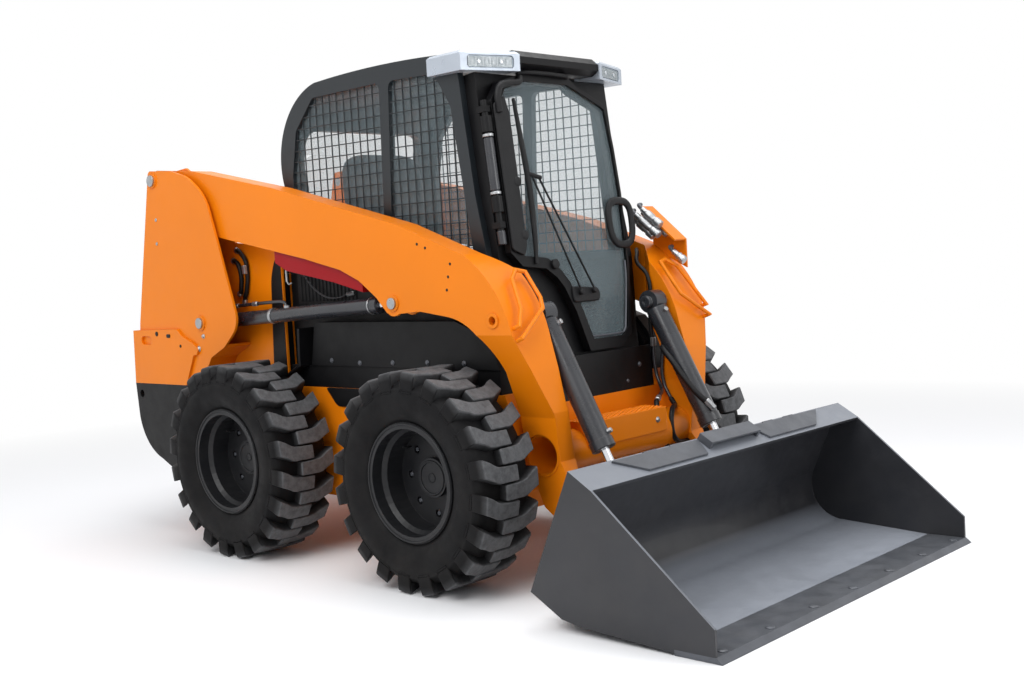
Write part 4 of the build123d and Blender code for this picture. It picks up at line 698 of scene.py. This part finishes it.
# The flat faces that the small pieces stand on, given for the right-hand side
inner_plate_y, cover_y, grille_y = -0.490, -0.5063, -0.4402
tower_y, corner_y, arm_y = -0.6301, -0.6421, -0.6001
lift_line = np.array([1.265, 0.0, 0.068]) / math.hypot(1.265, 0.068)
lift_foot = np.array([-1.156, -0.547, 0.984])


def along_lift(*rows):
    """Points beside the lift barrel: how far along it from its foot, and how high above its middle."""
    return [lift_foot + lift_line * far + z_axis * high for far, high in rows]


def on_sides(name, parts, finish_name, body, angle=35):
    """A piece for either side, from parts given for the right-hand one. The body may carry a side's name."""
    for side in both:
        label = side_names[side]
        show(f"{name}_{label}", mirrored(parts, side), finish_name, body.format(side=label), angle)


lift_barrel = "lift_barrel_body_{side}"
on_sides("lift_bands", [ring_band(lift_foot + lift_line * 0.430, lift_line, 0.0305, 0.0345, 0.016),
                        ring_band(lift_foot + lift_line * 1.085, lift_line, 0.0305, 0.0350, 0.006)],
         "pin_steel", lift_barrel)
on_sides("lift_line", [tube(along_lift((0.165, 0.060), (0.240, 0.061), (0.400, 0.060), (0.490, 0.058),
                                       (0.520, 0.048), (0.530, 0.028)), 0.0075, 12)],
         "cylinder_paint", lift_barrel)
on_sides("lift_fittings", [tube(along_lift((0.290, 0.0605), (0.325, 0.0605)), 0.0115, 6),
                           tube(along_lift((0.155, 0.060), (0.185, 0.0602)), 0.0115, 6),
                           tube(along_lift((0.530, 0.026), (0.530, 0.040)), 0.013, 6)],
         "pin_steel", lift_barrel)

# Hoses that come through the tower's inner plate and go back into it, with their unions
on_sides("tower_hoses", [
    tube([(-1.030, inner_plate_y, 1.300), (-1.022, -0.500, 1.300), (-0.995, -0.501, 1.285),
          (-0.962, -0.501, 1.245), (-0.958, -0.501, 1.180), (-0.972, -0.500, 1.120), (-0.990, -0.499, 1.085),
          (-0.995, inner_plate_y, 1.070)], 0.010),
    tube([(-1.060, inner_plate_y, 1.255), (-1.050, -0.500, 1.255), (-1.020, -0.501, 1.235),
          (-1.005, -0.501, 1.180), (-1.015, -0.500, 1.120), (-1.030, inner_plate_y, 1.105)], 0.010),
], "black_plastic", "chassis", 60)
unions = [tube([(x, -0.4885, z), (x, -0.506, z)], 0.015, 6)
          for x, z in ((-1.030, 1.300), (-0.995, 1.070), (-1.060, 1.255), (-1.030, 1.105))]
unions.append(tube([(-0.9605, -0.5132, 1.232), (-0.9575, -0.5125, 1.192)], 0.0125, 6))
on_sides("tower_unions", unions, "pin_steel", "chassis")

# Plugs, bolts and rubber stops of the tower and the arm
on_sides("tower_studs", [
    button((-1.459, tower_y, 1.465), -y_axis, 0.008, 0.004),
    button((-1.466, tower_y, 1.355), -y_axis, 0.008, 0.004),
    bolt((-1.186, tower_y, 0.867), -y_axis, 0.011, 0.008),
    bolt((-1.142, tower_y, 0.925), -y_axis, 0.008, 0.007),
], "pin_steel", "chassis")
on_sides("arm_plugs", [button((x, arm_y, z), -y_axis, 0.0055, 0.0016) for x, z in
                       ((0.305, 1.256), (0.432, 1.192), (0.418, 1.145), (0.408, 1.097), (0.262, 1.272))],
         "black_plastic", "lift_arms")
on_sides("corner_catches", [
    plate(rounded(box_outline(-1.425, 0.918, -1.395, 0.935), 0.007), (0, corner_y, 0), x_axis, z_axis,
          0.003, 0.001),
    button((-1.508, corner_y, 0.936), -y_axis, 0.011, 0.004),
    button((-1.315, corner_y, 0.880), -y_axis, 0.007, 0.003),
], "black_plastic", "chassis")

# Dark plates: before the tower's inner plate, over the chain case, the fender's lip, and on the upright
fender = rounded([(-0.826, 0.716), (-0.800, 1.165), (-0.775, 1.235), (-0.728, 1.292), (-0.728, 0.716)], 0.03)
lower = rounded([(-0.455, 0.700), (-0.385, 0.622), (0.420, 0.612), (0.470, 0.700)], 0.02)
lip = rounded([(-0.700, 0.720), (-0.560, 0.790), (-0.553, 0.950), (-0.566, 0.955), (-0.574, 0.798),
               (-0.712, 0.731)], 0.006)
on_sides("fender_plates", [
    plate(fender, (0, -0.4884, 0), x_axis, z_axis, 0.0032, 0.001),
    plate(lower, (0, -0.5002, 0), x_axis, z_axis, 0.006, 0.002),
    plate(lip, (0, -0.441, 0), x_axis, z_axis, 0.110, 0.003),
    plate(box_outline(-0.488, 0.716, -0.440, 1.292), (-0.7385, 0, 0), y_axis, z_axis, 0.003, 0.001),
], "black_paint", "chassis")
on_sides("cover_bolts", [bolt((x, cover_y, z), -y_axis, 0.008, 0.006) for x, z in
                         ((-0.40, 0.815), (-0.221, 0.807), (-0.020, 0.811), (0.180, 0.815), (0.380, 0.815))],
         "edge_steel", "chassis")

# Slatted grille in the cab's side under the rear pane, and the cable that hangs across it
slats = [plate(rounded(box_outline(x, 1.062, x + 0.011, 1.168), 0.003), (0, grille_y, 0), x_axis, z_axis,
               0.009, 0.002) for x in np.arange(-0.655, -0.30, 0.024)]
backing = plate(rounded(box_outline(-0.675, 1.048, -0.290, 1.180), 0.012), (0, -0.4401, 0), x_axis, z_axis,
                0.004, 0.001)
on_sides("side_grille", [*slats, backing], "black_plastic", "chassis")
on_sides("side_cable", [tube([(-0.640, -0.452, 1.200), (-0.600, -0.462, 1.171), (-0.537, -0.468, 1.118),
                              (-0.454, -0.468, 1.078), (-0.376, -0.464, 1.074), (-0.325, -0.458, 1.088),
                              (-0.290, -0.441, 1.092)], 0.0036, 8)], "cylinder_paint", "chassis", 60)
on_sides("side_union", [tube([(-0.332, -0.459, 1.086), (-0.300, -0.446, 1.091)], 0.0095, 6)],
         "pin_steel", "chassis")

show("strut_pin", [
    tube([(-0.632, -0.533, 1.240), (-0.632, -0.533, 1.150)], 0.0055, 10),
    button((-0.632, -0.533, 1.240), z_axis, 0.010, 0.006),
    tube([(-0.632, -0.533, 1.152), (-0.620, -0.533, 1.140), (-0.600, -0.533, 1.146)], 0.003, 8),
], "pin_steel", "lift_arms")

# -------------------- front: step, hoses and couplers

# Raised bumps on the step in staggered rows
step_top, bump_pitch = 0.579, 0.0185
x, y = np.meshgrid(np.arange(0.682, 0.776, bump_pitch), np.arange(-0.268, 0.196, bump_pitch), indexing="ij")
x[:, 1::2] += 0.009
bump = [(-0.0005, 0.0062), (0.0022, 0.0056), (0.0034, 0.0030)]
bumps = [turned(bump, (a, b, step_top), z_axis, 8) for a, b in zip(x.ravel(), y.ravel()) if a < 0.779]
show("step_bumps", bumps, "orange_paint", "lift_arms", 60)
show("step_bolts", [bolt((0.785, b, 0.534), x_axis, 0.009, 0.007) for b in (0.145, -0.215)],
     "pin_steel", "lift_arms")
panel_x, panel_out = 0.5955, (0.994, 0, 0.06)
show("panel_bolts", [bolt((panel_x, b, c), panel_out, 0.008, 0.006)
                     for b, c in ((0.294, 0.735), (0.208, 0.676), (-0.294, 0.735), (-0.208, 0.676))],
     "edge_steel", "chassis")

# The lines of the left arm: from the couplers down its inner face, then across to the foot
show("arm_hoses", [
    tube([(0.470, 0.478, 1.205), (0.500, 0.440, 1.190), (0.540, 0.385, 1.150), (0.585, 0.384, 1.105),
          (0.600, 0.386, 1.040), (0.592, 0.388, 0.960), (0.592, 0.389, 0.880), (0.600, 0.389, 0.800)],
         0.0085),
], "black_plastic", "lift_arms", 60)
show("arm_pipes", [
    tube([(0.600, 0.389, 0.812), (0.602, 0.389, 0.740), (0.612, 0.388, 0.680), (0.640, 0.372, 0.640),
          (0.668, 0.340, 0.622), (0.690, 0.300, 0.612), (0.705, 0.262, 0.600)], 0.0075),
    tube([(0.655, 0.388, 0.900), (0.648, 0.388, 0.800), (0.640, 0.386, 0.700), (0.652, 0.384, 0.640),
          (0.688, 0.372, 0.590)], 0.0075),
], "cylinder_paint", "lift_arms", 60)
show("arm_unions", [
    tube([(0.600, 0.389, 0.838), (0.600, 0.389, 0.800)], 0.0125, 6),
    tube([(0.656, 0.388, 0.925), (0.655, 0.388, 0.890)], 0.0125, 6),
    tube([(0.700, 0.276, 0.606), (0.708, 0.252, 0.596)], 0.0125, 6),
], "pin_steel", "lift_arms")
show("drop_hoses", [
    tube([(0.708, 0.246, 0.594), (0.722, 0.228, 0.575), (0.735, 0.222, 0.530), (0.740, 0.226, 0.470),
          (0.742, 0.260, 0.410), (0.738, 0.320, 0.384), (0.735, 0.374, 0.380)], 0.0105),
    tube([(0.688, 0.372, 0.590), (0.712, 0.366, 0.560), (0.748, 0.300, 0.560), (0.766, 0.262, 0.520),
          (0.772, 0.262, 0.460), (0.770, 0.300, 0.424), (0.764, 0.374, 0.416)], 0.0105),
], "black_plastic", "lift_arms", 60)

# Quick couplers: each a stepped body of its own length, with an elbow behind it
quick_line = np.array([0.180, 0.0, -0.143]) / math.hypot(0.180, 0.143)
couplers, elbows = [], []
for *start, reach in ((0.470, 0.470, 1.335, 0.130), (0.492, 0.452, 1.352, 0.150),
                      (0.520, 0.462, 1.374, 0.120), (0.640, 0.505, 1.190, 0.070)):
    body = [(0, 0.009), (0.004, 0.0125), (0.030, 0.0125), (0.034, 0.017), (reach * 0.55, 0.017),
            (reach * 0.58, 0.0145), (reach * 0.70, 0.0145), (reach * 0.73, 0.0185), (reach - 0.004, 0.0185),
            (reach, 0.0155)]
    couplers.append(turned(body, start, quick_line, 20))
    elbows.append(tube([start - quick_line * 0.030 + y_axis * 0.030,
                        start - quick_line * 0.026 + y_axis * 0.008, start + quick_line * 0.002], 0.0085, 10))
show("quick_couplers", couplers, "pin_steel", "lift_arms")
show("coupler_elbows", elbows, "edge_steel", "lift_arms")

# -------------------- tilt cylinders

tilt_line = np.array([0.322, 0.0, -0.610]) / math.hypot(0.322, 0.610)
tilt_back = np.array([-tilt_line[2], 0.0, tilt_line[0]])
tilt_foot = np.array([0.643, -0.343, 0.990])


def along_tilt(*rows, side=-1):
    """Points beside the tilt barrel: along it from its foot, above it, and in towards the middle."""
    return [tilt_foot * flips[side] + tilt_line * far + tilt_back * high - side * y_axis * inwards
            for far, high, inwards in rows]


on_sides("tilt_ports", [tube(along_tilt((far, 0.036, 0.010), (far, 0.056, 0.016)), 0.0105, 6)
                        for far in (0.062, 0.505)], "pin_steel", "tilt_barrel_body_{side}")
wrap = along_tilt((0.190, -0.030, 0.036), (0.220, -0.018, 0.050), (0.270, 0.000, 0.058),
                  (0.350, 0.014, 0.056), (0.430, 0.030, 0.044), (0.480, 0.046, 0.028), side=1)
show("tilt_hose_left", [tube(wrap, 0.0125, 12)], "black_plastic", "tilt_barrel_body_left", 60)
fit = along_tilt((0.470, 0.045, 0.031), (0.515, 0.053, 0.016), side=1)
show("tilt_union_left", [tube(fit, 0.0145, 6)], "pin_steel", "tilt_barrel_body_left")
cap = [(0, 0.0245), (0.003, 0.0265), (0.010, 0.0265), (0.014, 0.022), (0.014, 0.012), (0.010, 0.010)]
on_sides("tilt_pin_cap", [turned(cap, tilt_foot + 0.0412 * y_axis, y_axis, 24)],
         "cylinder_paint", "lift_arms")

# -------------------- bucket and rear

show("edge_bolts", [button((1.680, k * 0.267, 0.0178), z_axis, 0.0165, 0.005) for k in range(-3, 4)],
     "edge_steel", "bucket")


def opened(node, name, cutter):
    """A welded copy of a solid's mesh with the closed surface cutter taken out of it."""
    made = bpy.data.objects.new(name, nodes[node].data.copy())
    scene.collection.objects.link(made)
    welded = bmesh.new()
    welded.from_mesh(made.data)
    bmesh.ops.remove_doubles(welded, verts=welded.verts, dist=1e-5)
    welded.to_mesh(made.data)
    welded.free()
    tool = add_mesh("opening", *cutter, looks["cab_paint"], smooth=False)
    cut = made.modifiers.new("cut", "BOOLEAN")
    cut.operation, cut.object, cut.solver = "DIFFERENCE", tool, "EXACT"
    mesh = bpy.data.meshes.new_from_object(evaluated(made))
    made.modifiers.clear()
    made.data = mesh
    bpy.data.objects.remove(tool)
    return made


# The cab's rear window, open right through the leaning wall and up to where the roof starts to bend
window_half, window_foot, window_head, pane_head = 0.340, 1.260, 1.800, 1.6985
window = rounded(box_outline(-window_half, window_foot, window_half, window_head), 0.06)
shell = opened("cab_shell", "cab_shell_shown", plate(window, (-0.80, 0, 0), y_axis, z_axis, 0.20, 0.0005))
shell.data.materials.clear()
shell.data.materials.append(looks["cab_paint"])
shell.data.shade_smooth()
shell.data.set_sharp_from_angle(angle=math.radians(30))
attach(shell, "chassis")
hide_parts("cab_shell")
show("rear_pane_top", [plate(box_outline(-0.338, pane_head, 0.338, 1.798), (-0.709, 0, 0), y_axis, z_axis,
                             0.006, 0.001)], "window_glass", "chassis")

show("rear_latch", [
    plate(rounded(box_outline(-0.055, -0.026, 0.055, 0.026), 0.018), (-1.7252, -0.355, 0.760), -y_axis,
          z_axis, 0.006, 0.002),
    plate(rounded([(-0.014, -0.016), (0.040, -0.010), (0.040, 0.010), (-0.014, 0.016)], 0.008),
          (-1.7312, -0.355, 0.760), -y_axis, z_axis, 0.007, 0.002),
], "black_plastic", "rear_door_panel")
lamp = rounded(box_outline(-0.034, -0.055, 0.034, 0.055), 0.012)
show("tail_lamps", [plate(lamp, (-1.7200, s * 0.555, 0.850), -y_axis, z_axis, 0.014, 0.004) for s in both],
     "red_paint", "chassis")

# -------------------- seat and levers


def pad_shell(middle, axes, half, power=0.34, rows=28, columns=64):
    """A cushion's closed surface: a superellipsoid, closed by a point at each pole.

    With c(w) = sign(cos w) |cos w|^power and s(w) likewise for the sine, a point is
    middle + half_x c(u) c(v) X + half_y c(u) s(v) Y + half_z s(u) Z, where X, Y and Z are the axes.
    """
    u = np.linspace(-np.pi / 2, np.pi / 2, rows + 2)[1:-1, None]
    v = np.linspace(0, 2 * np.pi, columns, endpoint=False)[None, :]
    girth = shaped(np.cos(u), power)
    local = np.stack([half[0] * girth * shaped(np.cos(v), power), half[1] * girth * shaped(np.sin(v), power),
                      half[2] * shaped(np.sin(u), power) + 0 * v], -1).reshape(-1, 3)
    local = np.concatenate([local, [(0, 0, -half[2]), (0, 0, half[2])]])
    points = np.asarray(middle) + local @ np.asarray(axes)
    ring = np.arange(columns)
    low = np.stack([np.full(columns, rows * columns), np.roll(ring, -1), ring], -1)
    top = (rows - 1) * columns
    high = np.stack([np.full(columns, rows * columns + 1), top + ring, top + np.roll(ring, -1)], -1)
    return points, [*grid_faces(rows, columns), *low, *high]


# Two pads of one even mesh. What is sewn down is held, and the rest swells like a stuffed cover.
lean = math.atan2(0.075, 0.60)
back_axes = np.array([(math.cos(lean), 0, math.sin(lean)), (0, 1, 0), (-math.sin(lean), 0, math.cos(lean))])
seat_middle, back_middle = np.array([-0.345, 0.0, 1.046]), np.array([-0.553, 0.0, 1.395])
pads = add_mesh("seat_pads", *joined([pad_shell(seat_middle, np.eye(3), (0.208, 0.233, 0.043)),
                                      pad_shell(back_middle, back_axes, (0.044, 0.222, 0.298))]),
                looks["seat_cloth"])
remesh = pads.modifiers.new("even", "REMESH")
remesh.mode = "VOXEL"
remesh.voxel_size = 0.0095
whole = bpy.data.meshes.new_from_object(evaluated(pads))
pads.modifiers.clear()
pads.data = whole
rest = read_points(whole)

# Seams: each pad's rim, two lengthwise channels that part the bolsters from the middle, and cross channels
seam, bolster_line, seam_depth, most_swell = 0.006, 0.135, 0.004, 0.012
is_seat = rest[:, 2] < 1.093
local_seat = rest - seat_middle
local_back = (rest - back_middle) @ back_axes.T
outwards = np.where(is_seat, local_seat[:, 2], local_back[:, 0])
middle_part = np.abs(rest[:, 1]) < bolster_line
channel = np.abs(np.abs(rest[:, 1]) - bolster_line) < seam
cross = middle_part & np.where(is_seat, np.abs(local_seat[:, 0] - 0.02) < seam,
                               np.abs(np.abs(local_back[:, 2]) - 0.12) < seam)
stitched = (outwards > 0.02) & (channel | cross)
held = (np.abs(outwards) < seam) | (outwards < -0.02) | stitched
group = pads.vertex_groups.new(name="held")
group.add([int(i) for i in np.flatnonzero(held)], 1.0, "REPLACE")
inwards = np.where(is_seat[:, None], -z_axis, -back_axes[0])
rest = rest + np.where(stitched[:, None], seam_depth, 0.0) * inwards
whole.vertices.foreach_set("co", rest.reshape(-1))
cloth = pads.modifiers.new("stuffing", "CLOTH")
cloth.settings.quality = 5
cloth.settings.mass = 0.2
cloth.settings.use_pressure = True
cloth.settings.uniform_pressure_force = 4.0
cloth.settings.effector_weights.gravity = 0.0
cloth.settings.vertex_group_mass = "held"
cloth.collision_settings.use_collision = False
for step in range(1, 21):
    scene.frame_set(step)
swell = read_points(evaluated(pads).to_mesh()) - rest
length = np.linalg.norm(swell, axis=1, keepdims=True)
swell *= np.minimum(1.0, most_swell / np.maximum(length, 1e-9))
pads.modifiers.clear()
whole.vertices.foreach_set("co", (rest + swell).reshape(-1))
scene.frame_set(1)
whole.update()
whole.materials.clear()
whole.materials.append(looks["seat_cloth"])
whole.shade_smooth()
finer = pads.modifiers.new("finer", "SUBSURF")
finer.levels = finer.render_levels = 1
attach(pads, "chassis")
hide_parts("seat_cushions")

# Rubber boots under the levers: a cone whose radius ripples as a cosine, five folds high
k = np.linspace(0, 1, 25)
bellows = np.stack([0.004 + 0.070 * k, 0.036 - 0.021 * k + 0.0035 * np.cos(k * 10 * np.pi)], -1)
show("lever_boots", [turned(bellows, (-0.090, s * 0.320, 1.118), z_axis, 28) for s in both],
     "black_plastic", "chassis", 60)
